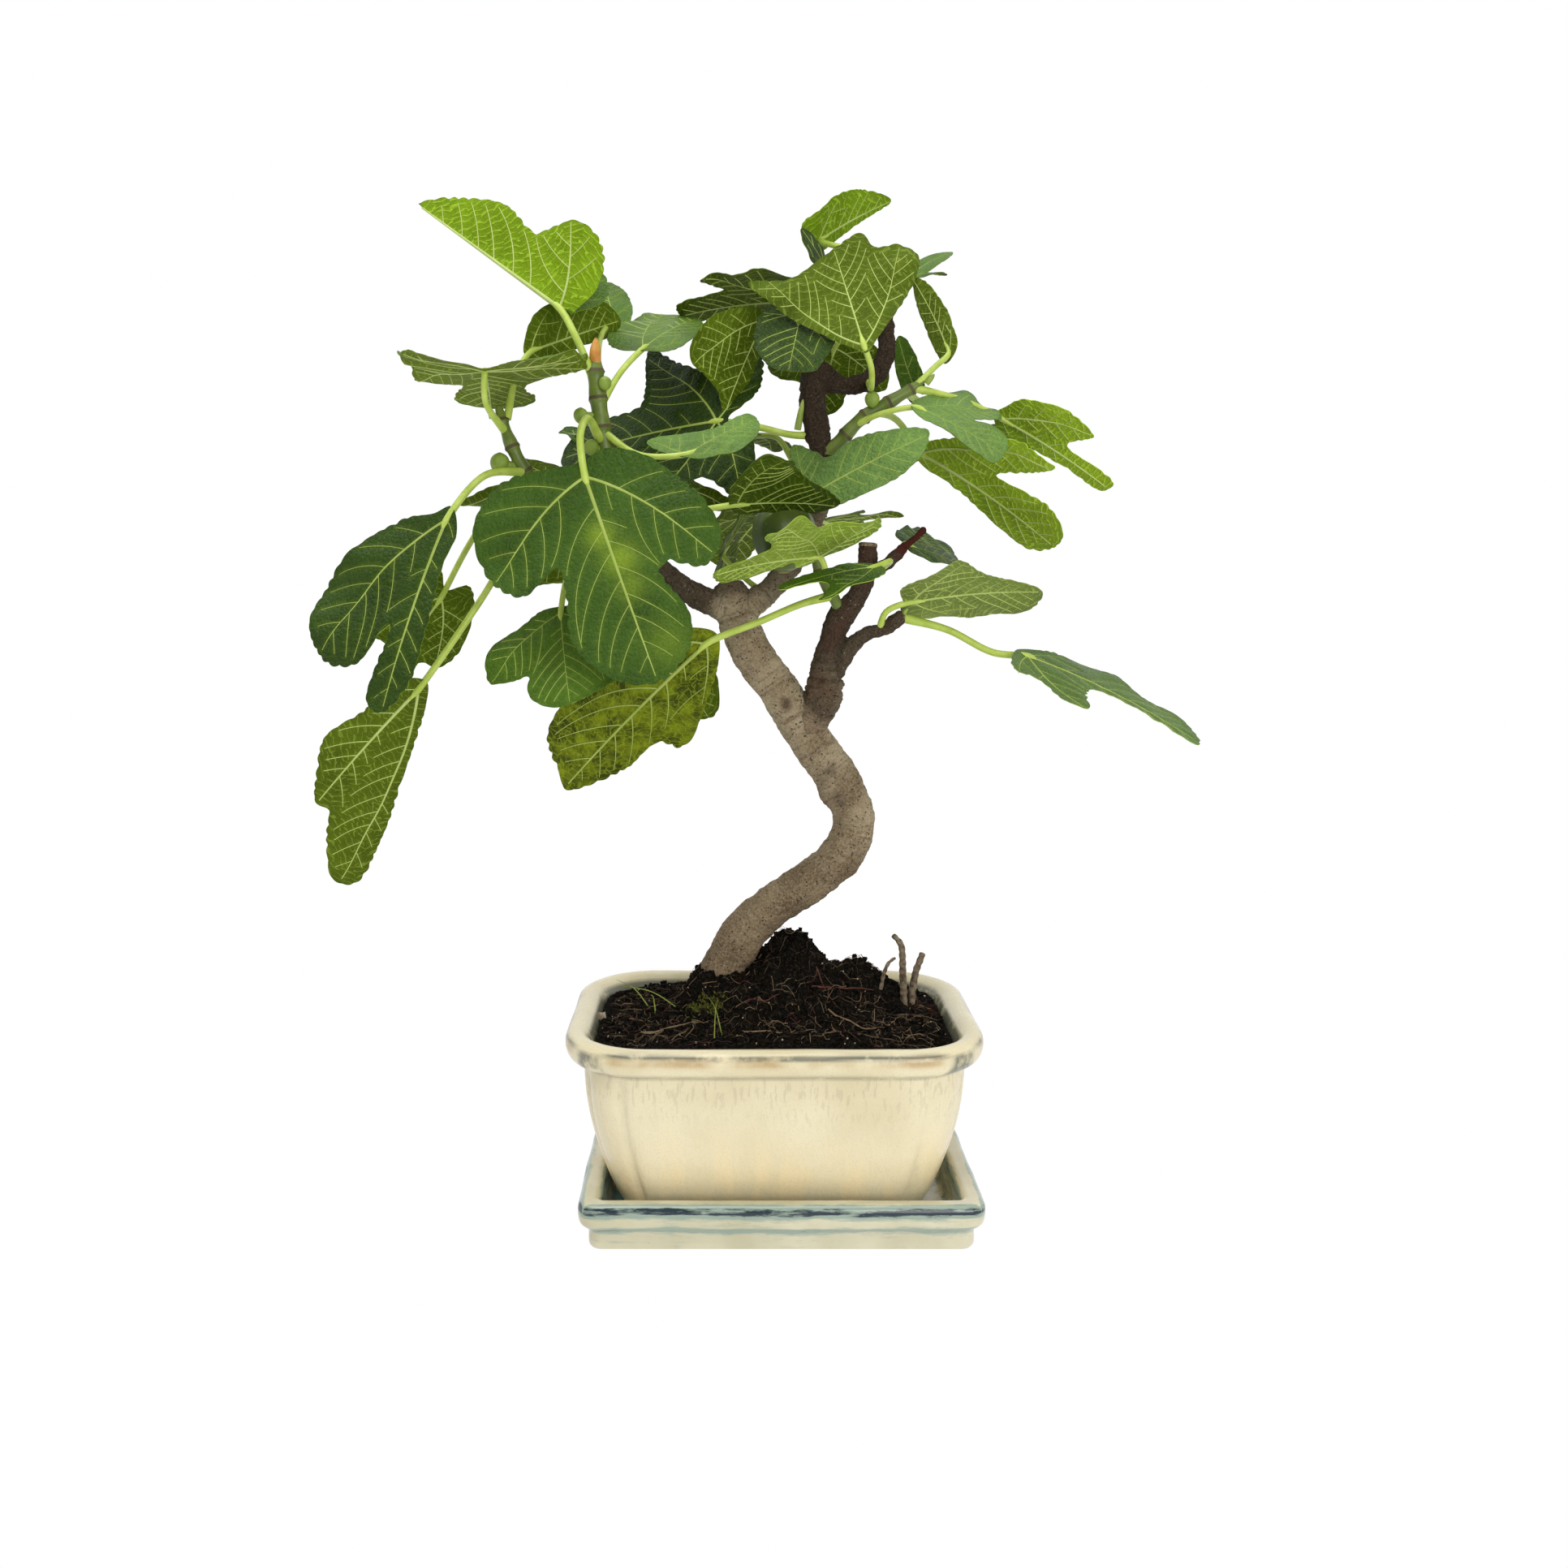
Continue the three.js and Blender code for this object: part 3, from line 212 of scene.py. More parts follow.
# Foliage by node: the green stem with its points and radii, the figs with their middle, radius and foot
# on the stem, and the leaves. Nodes without a stem are leaves that spring straight from the wood
SHOOTS = {
    "far_left_shoot": {
        "stem": ([[-117, -16, 365], [-126, -20, 379], [-132, -21, 392], [-137, -20, 407]],
            [3.4, 3.4, 3.2, 2]),
        "figs": [[-136.5, -23, 380.5, 4.6, [-126, -20, 379]]],
        "leaves": [
            leaf([-123, -4, 436], [-81, 28, 456], [-0.2, 1, 0.3], "tilted",
                [[-133, -20, 402], [-129, -12, 424]], "mid olive"),
            leaf([-139, -46, 421], [-146, 14, 411], [0, 0.1, 1], "spread",
                [[-134, -21, 396], [-140, -40, 408]], "mid sage", droop=-0.2),
            leaf([-159, -44, 353], [-189, -60, 263], [-0.4, -1, 0.3], "left_hung",
                [[-124, -20, 377], [-142, -36, 374]], "forest sage"),
            leaf([-177, -34, 272], [-234, -22, 212], [-0.3, 1, 0.4], "left_low",
                [[-121, -18, 371], [-138, -24, 330], [-158, -32, 298]], "deep lime"),
            leaf([-172, 4, 316], [-209, 14, 264], [-0.2, 1, 0.6], "three",
                [[-123, -18, 373], [-150, -6, 350]], wide=0.55),
        ],
    },
    "left_shoot": {
        "stem": ([[-84, -15, 371], [-86, -19, 388], [-88, -20, 404], [-90, -20, 424], [-90, -20, 428]],
            [4.4, 4.4, 4.2, 4.0, 3]),
        "figs": [
            [-97, -24, 403, 3.4, [-88, -20, 404]],
            [-92, -25, 388, 3.4, [-86, -19, 388]],
            [-85, -25, 418, 3, [-89, -20, 415]],
        ],
        "leaves": [
            leaf([-107, -18, 454], [-180, 14, 509], [0.27, 1, -0.2], "top_left",
                [[-91, -20, 421], [-98, -24, 438]], "mid bright", fold=138, arch=0, wave=0.02),
            leaf([-68, 0, 438], [-44, 45, 459], [0, -0.45, 1], "edge_on",
                [[-88, -20, 408], [-78, -10, 426]], "haze olive"),
            leaf([-86, 42, 460], [-94, 78, 484], [0, -0.8, 1], "oval",
                [[-90, -17, 424], [-90, 14, 446]], "mid sage", wide=0.5),
            leaf([-92, -58, 372], [-58, -80, 279], [-0.1, -1, 0.3], "front",
                [[-88, -21, 392], [-92, -42, 400], [-94, -58, 390]],
                spots=[(0.29, -0.02, 0.07, 0.75), (0.42, 0.03, 0.08, 0.8), (0.55, 0.03, 0.07, 0.5),
                    (0.85, 0.1, 0.1, 0.35)]),
            leaf([-107, -34, 309], [-100, -62, 266], [-0.2, -1, 0.4], "under_front",
                [[-85, -17, 377], [-99, -32, 345]], "mid olive"),
            leaf([-45, -38, 384], [-10, -14, 403], [0, -0.6, 1], "small_cut",
                [[-87, -20, 396], [-68, -32, 384]], "blue olive"),
            leaf([-22, -47, 360], [27, -30, 360], [0.1, 0.6, 1], "raised",
                [[-85, -18, 380], [-56, -38, 358]], "deep dusk"),
        ],
    },
    "back_left_shoot": {
        "stem": ([[-67, 2, 338], [-70, 20, 346], [-74, 36, 360], [-78, 42, 384]], [3.4, 3.2, 2.8, 1.4]),
        "figs": [[-82, 36, 364, 3.6, [-74, 36, 360]]],
        "leaves": [
            leaf([-112, 52, 374], [-152, 100, 340], [-0.3, 0.7, 0.7], "five",
                [[-74, 36, 360], [-92, 44, 376]]),
            leaf([-70, 58, 376], [-46, 106, 338], [0.2, 0.8, 0.6], "five", [[-75, 38, 364], [-72, 48, 376]]),
            leaf([-95, 60, 350], [-102, 98, 290], [-0.1, 1, 0.5], "five", [[-72, 28, 350], [-84, 48, 358]]),
            leaf([-85, 54, 394], [-100, 90, 410], [0, 0.3, 1], "three", [[-78, 41, 376], [-82, 46, 388]]),
            leaf([-66, 42, 288], [-86, 66, 232], [0, 1, 0.3], "three", [[-69, 14, 343], [-64, 36, 322]]),
        ],
    },
    "back_shoot": {
        "stem": ([[15, 13, 352], [14, 28, 362], [12, 42, 374], [8, 50, 392]], [3.4, 3.2, 2.8, 1.4]),
        "figs": [[17, 40, 366, 4, [13, 34, 367]]],
        "leaves": [
            leaf([24, 60, 384], [60, 100, 392], [0.2, 0.5, 1], "five", [[12, 40, 372], [18, 52, 382]]),
            leaf([-7, 62, 360], [-30, 110, 332], [-0.3, 0.8, 0.6], "five", [[13, 32, 365], [2, 50, 368]]),
            leaf([26, 62, 356], [52, 106, 350], [0.3, 0.8, 0.6], "five", [[14, 26, 361], [22, 46, 362]]),
            leaf([-10, 64, 402], [-40, 100, 404], [-0.2, 0.5, 1], "three", [[8, 49, 388], [0, 58, 400]]),
        ],
    },
    "inner_left_leaf": {"leaves": [
        leaf([-32, 12, 404], [-114, 46, 388], [0, -0.8, 0.6], "five",
            [[22, 8, 397], [6, 8, 397], [-10, 12, 401]], "dark olive"),
    ]},
    "fork_leaf": {"leaves": [
        leaf([16, -8, 367], [70, -22, 394], [-0.1, -1, 0.6], "folded_right",
            [[20, 8, 362], [17, 0, 361]], "blue sage"),
    ]},
    "low_inner_leaf": {"leaves": [
        leaf([-29, 22, 338], [-8, 42, 366], [0, 0.6, 1], "three",
            [[-8, 8, 318], [-18, 16, 326]], "deep dusk"),
    ]},
    "top_shoot": {
        "stem": ([[51, 10, 465], [50, 11, 474], [48, 13, 484]], [3.6, 3.2, 1.4]),
        "figs": [[54, 7, 473, 3, [50, 11, 474]]],
        "leaves": [
            leaf([21, 45, 499], [61, 72, 525], [-0.3, 1, 0.8], "lit",
                [[49, 12, 480], [40, 30, 490]], "mid bright"),
            leaf([9, -2, 451], [3, -26, 425], [0, -1, 0.6], "round",
                [[50, 11, 472], [36, 6, 466], [19, 4, 459]], "dark olive"),
            leaf([-8, 20, 455], [-28, 15, 408], [-0.4, 0.9, 0.5], "hanging",
                [[50, 11, 474], [26, 18, 470], [6, 20, 462]]),
            leaf([4, 38, 467], [-52, 58, 463], [0.1, 0.3, 1], "swept",
                [[49, 12, 478], [30, 28, 478]], "deep lime"),
            leaf([66, 30, 478], [92, 60, 496], [0, -0.4, 1], "slim",
                [[49, 13, 482], [58, 20, 484]], "mid sage", wide=0.8),
            leaf([22, 22, 482], [10, 16, 498], [0, -0.6, 1], "oval",
                [[50, 12, 478], [36, 16, 482]], "dark olive"),
            leaf([22, 60, 472], [-18, 112, 468], [-0.1, 0.5, 1], "five", [[50, 12, 474], [42, 36, 480]]),
            leaf([50, 58, 482], [62, 108, 494], [0.1, 0.4, 1], "five", [[50, 13, 478], [52, 36, 486]]),
            leaf([30, 52, 446], [24, 88, 414], [0, 1, 0.4], "three", [[51, 10, 468], [44, 34, 460]]),
        ],
    },
    "upper_front_leaf": {"leaves": [
        leaf([39, -22, 436], [25, -6, 484], [0, 1, 0.4], "fan",
            [[44, 8, 424], [44, -8, 418], [43, -18, 426]], "mid fresh"),
    ]},
    "right_shoot": {
        "stem": ([[22, 7, 387], [30, 4, 394], [40, 1, 404], [52, 0, 411], [62, 0, 417], [70, 0, 422]],
            [3.6, 3.4, 3.4, 3.2, 3, 1.4]),
        "figs": [[45, -3, 413, 3.6, [46, 0, 408]]],
        "leaves": [
            leaf([66, -14, 408], [106, -25, 385], [0.2, -0.7, 1], "cut_right",
                [[36, 2, 401], [50, -8, 406]], "blue olive"),
            leaf([68, 12, 420], [61, 28, 448], [-0.8, -0.5, 0.3], "oval",
                [[58, 0, 414], [63, 6, 417]], "mid sage", wide=0.45),
            leaf([84, 6, 437], [68, 30, 477], [0.8, 0.6, 0.3], "slim",
                [[67, 0, 420], [76, 2, 429]], "blue sage"),
            leaf([112, 10, 405], [168, 4, 368], [0.1, 0.6, 0.9], "forked",
                [[66, 0, 419], [90, 6, 414]], "mid sunny"),
            leaf([100, 54, 398], [142, 88, 394], [0.1, 0.4, 1], "five", [[62, 0, 417], [80, 30, 410]]),
            leaf([74, 30, 390], [141, 12, 341], [0.3, 0.6, 0.9], "long_forked",
                [[46, 0, 408], [60, 18, 405]], "mid sunny"),
        ],
    },
    "inner_right_shoot": {
        "stem": ([[32, 0, 306], [27, -4, 316], [21, -6, 326], [16, -8, 338]], [3.2, 3, 3, 1.6]),
        "figs": [[1, -20, 346, 15.5, [16, -8, 338]]],
        "leaves": [
            leaf([18, -28, 336], [-33, -55, 327], [-0.1, 0.5, 1], "winged",
                [[21, -6, 326], [22, -18, 328]], "mid pale"),
            leaf([-37, -28, 294], [-108, -24, 222], [-0.3, 1, 0.4], "lowest",
                [[26, -4, 317], [10, -16, 313], [-10, -26, 305]], "deep mottled"),
        ],
    },
    "low_twig_leaf": {"leaves": [
        leaf([45, -24, 331], [-2, -52, 320], [0, -0.4, 1], "two_tipped",
            [[50, -1, 330], [54, -14, 334]], "mid sunny"),
    ]},
    "high_twig_leaf": {"leaves": [
        leaf([66, 10, 342], [97, 28, 331], [-0.2, -0.7, 1], "blunt", [[62, -2, 341], [63, 4, 343]]),
    ]},
    "near_side_leaf": {"leaves": [
        leaf([66, -8, 314], [130, -12, 319], [0, 0.6, 1], "waved",
            [[50, -4, 299], [53, -8, 309]], "mid ashen"),
    ]},
    "far_side_leaf": {"leaves": [
        leaf([123, -16, 287], [212, -10, 243], [0.45, -0.3, 0.9], "drooping",
            [[61, -4, 306], [84, -8, 300], [106, -13, 289]], "haze pale", wave=0.06),
    ]},
}

# Blades: thickness, spacing of the points along the margin and across the skin, and size of the teeth
BLADE_THICKNESS = 0.36
MARGIN_STEP = 1.05
CELL = 2.3
TOOTH = 6.5
TOOTH_DEPTH = 0.009

# Lobes: looked for this many degrees to both sides of the midrib, by steps. A tip lies at least so far
# off the midrib and off the next one. A side without a lobe has one lateral vein
LOBE_SEARCH = 135
LOBE_STEP = 3
LOBE_OFF_MIDRIB = 16
LOBE_APART = 24
LATERAL = 44

# Veins: radius of the midrib by blade length, share of it that a lobe's vein has, share that is left at
# the tip, finest radius, and least rise above the skin
VEIN_RADIUS = 0.012
LOBE_VEIN = 0.78
VEIN_TAPER = 0.34
THIN_VEIN = 0.22
LEAST_RISE = 0.42

# Side veins: how far apart they are, at least and by blade length, the degrees at which they leave the
# main vein at its base and how much less that is at its tip, the degrees they bend by each step, the
# step, and how near they come to the margin
SIDE_GAP = (6.0, 0.12)
SIDE_LEAN = (62, 14)
SIDE_BEND = 2.0
SIDE_STEP = 2.2
SIDE_CLEAR = 1.4

# Veins are joined to one piece on each side of this place, left to right
VEINS_PART = -40

# A fig above this radius is the large one. A neck is no stouter than that of a fig with the second radius
LARGE_FIG = 8
STOUTEST_NECK = 4.5

# The skin swells between the veins: how far on a large blade, and how far from a vein
PUFF = 0.85
PUFF_REACH = 2.6

# Each side of a blade has its own cell on a square sheet, which is this many cells of this width across
SHEET_CELLS = 5
SHEET_CELL = 170

# The fine net of veins is a ladder between the larger ones: its cells are this much shorter across them
LADDER = 0.42

# Plain base colours of the leaves' two sides, in linear light. Besides the leaves' own greens they hold
# painted light: backlit and well-lit leaves have lighter tones, and leaves in shade darker ones
TONES = {
    "deep": (0.036, 0.082, 0.007), "dark": (0.018, 0.042, 0.003), "mid": (0.062, 0.130, 0.010),
    "forest": (0.024, 0.054, 0.004), "blue": (0.120, 0.215, 0.048), "haze": (0.078, 0.148, 0.018),
    "olive": (0.078, 0.124, 0.004), "dusk": (0.045, 0.080, 0.003), "sage": (0.120, 0.175, 0.014),
    "lime": (0.079, 0.120, 0.005), "bright": (0.155, 0.260, 0.006), "fresh": (0.070, 0.108, 0.007),
    "ashen": (0.175, 0.235, 0.050), "pale": (0.225, 0.325, 0.038), "sunny": (0.270, 0.400, 0.024),
    "mottled": (0.070, 0.095, 0.002),
}
BRIGHT_VEIN = ("bright", "fresh", "ashen", "pale", "sunny", "sage", "lime", "olive")


def unit(v):
    v = np.asarray(v, float)
    return v / np.maximum(np.linalg.norm(v, axis=-1, keepdims=True), 1e-12)


def turned(v, axis, angle):
    """v turned about a unit axis, once for each of the angles in radians."""
    c = np.cos(angle)[:, None]
    s = np.sin(angle)[:, None]
    return v * c + np.cross(axis, v) * s + axis * (axis @ v) * (1 - c)


def soft_step(x, low, high):
    t = np.clip((x - low) / (high - low), 0, 1)
    return t * t * (3 - 2 * t)


def hump(x, width):
    """1 where x is 0, falling to both sides."""
    return np.exp(-((x / width) ** 2))


def circle(count):
    """Even angles round a circle."""
    return 2 * math.pi * np.arange(count) / count


def facing(angle):
    return np.array([math.cos(angle), math.sin(angle)])


def run(line):
    """The way along a line at each of its points."""
    return np.append(0, np.cumsum(np.linalg.norm(np.diff(line, axis=0), axis=1)))


def evened(values):
    """Each value's mean with two on either side."""
    return np.convolve(np.pad(values, 2, mode="edge"), np.ones(5) / 5, "valid")


def field(points, size, seed):
    """Smooth noise from about -1 to 1 at each point, with lumps of that size."""
    shift = Vector((seed * 17.3, seed * 5.1, seed * 9.7))
    scaled = np.asarray(points, float) / size
    return np.array([noise.noise(Vector(p) + shift) for p in scaled])


def spline(points, step, closed=False):
    """Points about step apart on a centripetal curve through points, and each one's place in the list."""
    p = np.array(points, float)
    if closed:
        p = np.vstack([p[-1], p, p[0], p[1]])
    else:
        p = np.vstack([2 * p[0] - p[1], p, 2 * p[-1] - p[-2]])
    t = np.linspace(0, 1, 24, endpoint=False)[:, None]
    fine = []
    places = []
    for k in range(1, len(p) - 2):
        before, here, after = (max(np.linalg.norm(p[i + 1] - p[i]), 1e-6) ** 0.5 for i in (k - 1, k, k + 1))
        out = (p[k] - p[k - 1]) / before - (p[k + 1] - p[k - 1]) / (before + here) + (p[k + 1] - p[k]) / here
        into = (p[k + 1] - p[k]) / here - (p[k + 2] - p[k]) / (here + after) + (p[k + 2] - p[k + 1]) / after
        out *= here
        into *= here
        gap = p[k + 1] - p[k]
        fine.append(p[k] + out * t + (3 * gap - 2 * out - into) * t**2 + (out + into - 2 * gap) * t**3)
        places.append(k - 1 + t[:, 0])
    fine = np.vstack([*fine, p[-2]])
    places = np.append(np.concatenate(places), len(p) - 3)
    way = run(fine)
    at = np.linspace(0, way[-1], max(2, round(way[-1] / step)) + 1)
    curve = np.stack([np.interp(at, way, fine[:, i]) for i in range(p.shape[1])], 1)
    return curve, np.interp(at, way, places)


def limb_line(points, radii, step):
    """The centres and radii of a tapering limb."""
    centres, places = spline(points, step)
    return centres, np.interp(places, np.arange(len(radii)), radii)


class Heap:
    """Faces of one kind, gathered in millimetres for one piece."""

    def __init__(self):
        self.points = []
        self.faces = []
        self.slots = []
        self.packed = []
        self.plan = []
        self.count = 0

    def add(self, points, faces, slot=0, packed=None, plan=None):
        """Points with faces of one size. packed and plan are flat places for each corner: packed on the
        sheet for baking, plan along and across the veins."""
        corners = faces.size
        self.points.append(points)
        self.faces.append(faces + self.count)
        self.slots.append(np.full(len(faces), slot, np.int32))
        self.packed.append(np.zeros((corners, 2)) if packed is None else packed.reshape(corners, 2))
        self.plan.append(np.zeros((corners, 2)) if plan is None else plan.reshape(corners, 2))
        self.count += len(points)

    def grid(self, points, slot=0):
        """A skin over rows of points, closed round each row, with a fan at each end."""
        rows, cols = points.shape[:2]
        r, i = np.meshgrid(np.arange(rows - 1), np.arange(cols), indexing="ij")
        j = (i + 1) % cols
        quads = np.stack([r * cols + i, r * cols + j, (r + 1) * cols + j, (r + 1) * cols + i], -1)
        u = np.stack([i, i + 1, i + 1, i], -1) / cols
        v = np.stack([r, r, r + 1, r + 1], -1) / (rows - 1)
        self.add(points.reshape(-1, 3), quads.reshape(-1, 4), slot, 0.01 + 0.98 * np.stack([u, v], -1))
        base = self.count - rows * cols
        self.fan(base, cols, points[0].mean(0), slot, False)
        self.fan(base + (rows - 1) * cols, cols, points[-1].mean(0), slot, True)

    def fan(self, first, cols, middle, slot, up):
        i = np.arange(cols)
        j = (i + 1) % cols
        centre = np.full(cols, self.count)
        tris = np.stack([centre, first + i, first + j] if up else [centre, first + j, first + i], -1)
        self.add(middle[None], tris - self.count, slot)


def across(centres):
    """Two unit vectors across the way at each centre, carried along it without a twist."""
    ways = unit(np.gradient(centres, axis=0))
    side = np.eye(3)[np.argmin(np.abs(ways[0]))]
    normals = []
    for way in ways:
        side = unit(side - way * (side @ way))
        normals.append(side)
    normals = np.array(normals)
    return normals, np.cross(ways, normals)


def tube(heap, centres, radii, sides, slot=0, swell=None, dome=0):
    """A tapering tube. swell adds to the radius at each ring and side, dome rounds its far end."""
    radii = np.broadcast_to(np.asarray(radii, float), len(centres))
    if dome:
        way = unit(centres[-1] - centres[-2])
        turns = np.linspace(0, math.pi / 2, 6)[1:-1]
        ends = centres[-1] + way * (dome * radii[-1] * np.sin(turns))[:, None]
        centres = np.vstack([centres, ends])
        radii = np.append(radii, radii[-1] * np.cos(turns))
    first, second = across(centres)
    a = circle(sides)
    ring = np.cos(a)[None, :, None] * first[:, None] + np.sin(a)[None, :, None] * second[:, None]
    reach = np.repeat(radii[:, None], sides, 1)
    if swell is not None:
        reach[: len(swell)] += swell
    heap.grid(centres[:, None] + ring * reach[..., None], slot)


def draft_mesh(name, heap):
    """The points and faces of a heap as a mesh, in metres."""
    mesh = bpy.data.meshes.new(name)
    faces = [face for block in heap.faces for face in block.tolist()]
    mesh.from_pydata((np.vstack(heap.points) * MM).tolist(), [], faces)
    return mesh


def put(name, data):
    """An object in the scene."""
    made = bpy.data.objects.new(name, data)
    bpy.context.scene.collection.objects.link(made)
    return made


def make_piece(name, heap, materials, nodes=(), attributes=None, sharp=50):
    """A heap as a piece of the scene, with its looks, its two UV maps and the nodes that it replaces."""
    mesh = draft_mesh(name, heap)
    for look in materials:
        mesh.materials.append(look)
    mesh.polygons.foreach_set("material_index", np.concatenate(heap.slots))
    for map_name, flat in (("OFBake", heap.packed), ("plan", heap.plan)):
        mesh.uv_layers.new(name=map_name).data.foreach_set("uv", np.vstack(flat).ravel())
    mesh.uv_layers.active = mesh.uv_layers["OFBake"]
    mesh.uv_layers["OFBake"].active_render = True
    finish_piece(name, mesh, nodes, attributes or {}, sharp)


def finish_piece(name, mesh, nodes, attributes, sharp):
    for key, values in attributes.items():
        mesh.attributes.new(key, "FLOAT", "POINT").data.foreach_set("value", values.astype(np.float32))
    mesh.polygons.foreach_set("use_smooth", np.ones(len(mesh.polygons), bool))
    mesh.set_sharp_from_angle(angle=math.radians(sharp))
    mesh.update()
    piece = put(name, mesh)
    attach(piece, "root")
    if nodes:
        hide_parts(*nodes)


class Look:
    """A procedural material round one Principled shader, whose colour is laid on in coats."""

    def __init__(self, name, base, roughness=0.5, specular=0.5):
        self.material = bpy.data.materials.new(name)
        self.material.use_nodes = True
        self.tree = self.material.node_tree
        self.shader = self.tree.nodes["Principled BSDF"]
        self.shader.inputs["Base Color"].default_value = (*base, 1)
        self.shader.inputs["Roughness"].default_value = roughness
        self.shader.inputs["Specular IOR Level"].default_value = specular
        self.place = self.node("ShaderNodeTexCoord").outputs["Object"]
        self.body = base
        self.normal = None

    def node(self, kind, **values):
        made = self.tree.nodes.new(kind)
        for key, value in values.items():
            setattr(made, key, value)
        return made

    def link(self, source, target):
        """A number, a colour or another node's output into a socket."""
        if isinstance(source, (int, float)):
            target.default_value = source
        elif isinstance(source, tuple):
            target.default_value = (*source, 1) if len(source) < len(target.default_value) else source
        else:
            self.tree.links.new(source, target)

    def glaze(self, weight, roughness):
        self.shader.inputs["Coat Weight"].default_value = weight
        self.shader.inputs["Coat Roughness"].default_value = roughness

    def stretch(self, x, y, z):
        """Object places times x, y and z, per metre."""
        mapping = self.node("ShaderNodeMapping")
        self.link(self.place, mapping.inputs["Vector"])
        mapping.inputs["Scale"].default_value = (x, y, z)
        return mapping.outputs["Vector"]

    def noise(self, scale, detail=3, vector=None, roughness=0.5):
        made = self.node("ShaderNodeTexNoise")
        self.link(vector or self.place, made.inputs["Vector"])
        made.inputs["Scale"].default_value = scale
        made.inputs["Detail"].default_value = detail
        made.inputs["Roughness"].default_value = roughness
        return made.outputs["Fac"]

    def cells(self, scale, feature="DISTANCE_TO_EDGE", vector=None):
        made = self.node("ShaderNodeTexVoronoi", feature=feature)
        self.link(vector or self.place, made.inputs["Vector"])
        made.inputs["Scale"].default_value = scale
        return made.outputs["Distance"]

    def ramp(self, value, *stops):
        """Runs through (place, level) stops as a grey value."""
        made = self.node("ShaderNodeValToRGB")
        self.link(value, made.inputs["Fac"])
        elements = made.color_ramp.elements
        while len(elements) < len(stops):
            elements.new(0.5)
        for element, (place, level) in zip(elements, stops):
            element.position = place
            element.color = (level, level, level, 1)
        return made.outputs["Color"]

    def rise(self, value, low, high):
        return self.ramp(value, (low, 0), (high, 1))

    def fall(self, value, low, high):
        return self.ramp(value, (low, 1), (high, 0))

    def maths(self, kind, a, b):
        made = self.node("ShaderNodeMath", operation=kind)
        self.link(a, made.inputs[0])
        self.link(b, made.inputs[1])
        return made.outputs[0]

    def times(self, a, b):
        return self.maths("MULTIPLY", a, b)

    def mix(self, share, a, b):
        made = self.node("ShaderNodeMix", data_type="RGBA")
        self.link(share, made.inputs["Factor"])
        self.link(a, made.inputs["A"])
        self.link(b, made.inputs["B"])
        return made.outputs["Result"]

    def spread(self, value, low, high, first, second):
        """From the first colour to the second as a value goes from low to high."""
        return self.mix(self.rise(value, low, high), first, second)

    def attribute(self, name):
        return self.node("ShaderNodeAttribute", attribute_name=name).outputs["Fac"]

    def plan(self):
        return self.node("ShaderNodeUVMap", uv_map="plan").outputs["UV"]

    def part(self, vector, axis):
        split = self.node("ShaderNodeSeparateXYZ")
        self.link(vector, split.inputs[0])
        return split.outputs[axis]

    def rungs(self, scale):
        """How far a place lies from the small veins that run between the larger ones, from 0 to 0.5."""
        wobble = self.times(self.noise(0.7 * scale, 2, vector=self.plan()), 2.2)
        along = self.maths("ADD", self.times(self.part(self.plan(), "X"), scale), wobble)
        return self.maths("PINGPONG", along, 0.5)

    def colour(self, value):
        """The first coat."""
        self.body = value
        self.link(value, self.shader.inputs["Base Color"])

    def coat(self, colour, share, strength=1):
        """A colour laid over the coats below by a share of a strength."""
        if strength != 1:
            share = self.times(share, strength)
        self.colour(self.mix(share, self.body, colour))

    def bump(self, height, millimetres, strength=1.0):
        made = self.node("ShaderNodeBump")
        made.inputs["Distance"].default_value = millimetres * MM
        made.inputs["Strength"].default_value = strength
        self.link(height, made.inputs["Height"])
        if self.normal:
            self.link(self.normal, made.inputs["Normal"])
        self.normal = made.outputs["Normal"]
        self.link(self.normal, self.shader.inputs["Normal"])


def shade(colour, times):
    return tuple(min(1.0, c * times) for c in colour)


def leaf_look(name, tone, under):
    """One side of a leaf: a ladder of fine veins over mottled green, with painted shade along the fine net.
    """
    look = Look(name, tone, roughness=0.6 if under else 0.42, specular=0.05 if under else 0.11)
    net = look.rungs(300)
    fine = look.cells(430)
    added = (0.06, 0.065, 0.02) if under else (0.03, 0.04, 0.006)
    vein = tuple(c * 1.5 + more for c, more in zip(tone, added))
    pale = tuple(c * 1.2 + more for c, more in zip(tone, (0.16, 0.20, 0.012)))
    look.colour(look.spread(look.noise(38, 4), 0.3, 0.7, shade(tone, 0.7), shade(tone, 1.25)))
    quilt_shade = look.ramp(fine, (0.0, 0.5), (0.3, 1))
    # Painted shade of the quilted skin: darker towards the edges of the fine net's cells
    look.coat(shade(tone, 0.45 if under else 0.7), look.maths("SUBTRACT", 1.0, quilt_shade))
    look.coat(vein, look.fall(net, 0.03, 0.13), 0.8 if under else 0.2)
    look.coat(vein, look.fall(fine, 0.0, 0.1), 0.3 if under else 0.24)
    look.coat(pale, look.attribute("pale"))
    look.bump(look.rise(net, 0.0, 0.25), -0.3 if under else 0.25, 0.6)
    look.bump(look.rise(fine, 0.0, 0.3), -0.2 if under else 0.45, 0.7)
    return look.material


def mottled_look(name, tone):
    """The underside of a yellowing leaf: olive blotches on yellow-green."""
    look = Look(name, tone, roughness=0.6, specular=0.1)
    blotch = look.noise(75, 6, roughness=0.7)
    net = look.cells(380, vector=look.plan())
    look.colour(look.spread(blotch, 0.4, 0.6, shade(tone, 0.5), (0.16, 0.2, 0.005)))
    look.coat((0.22, 0.28, 0.015), look.fall(net, 0.0, 0.08), 0.6)
    look.bump(look.rise(net, 0.0, 0.22), -0.35, 0.7)
    return look.material


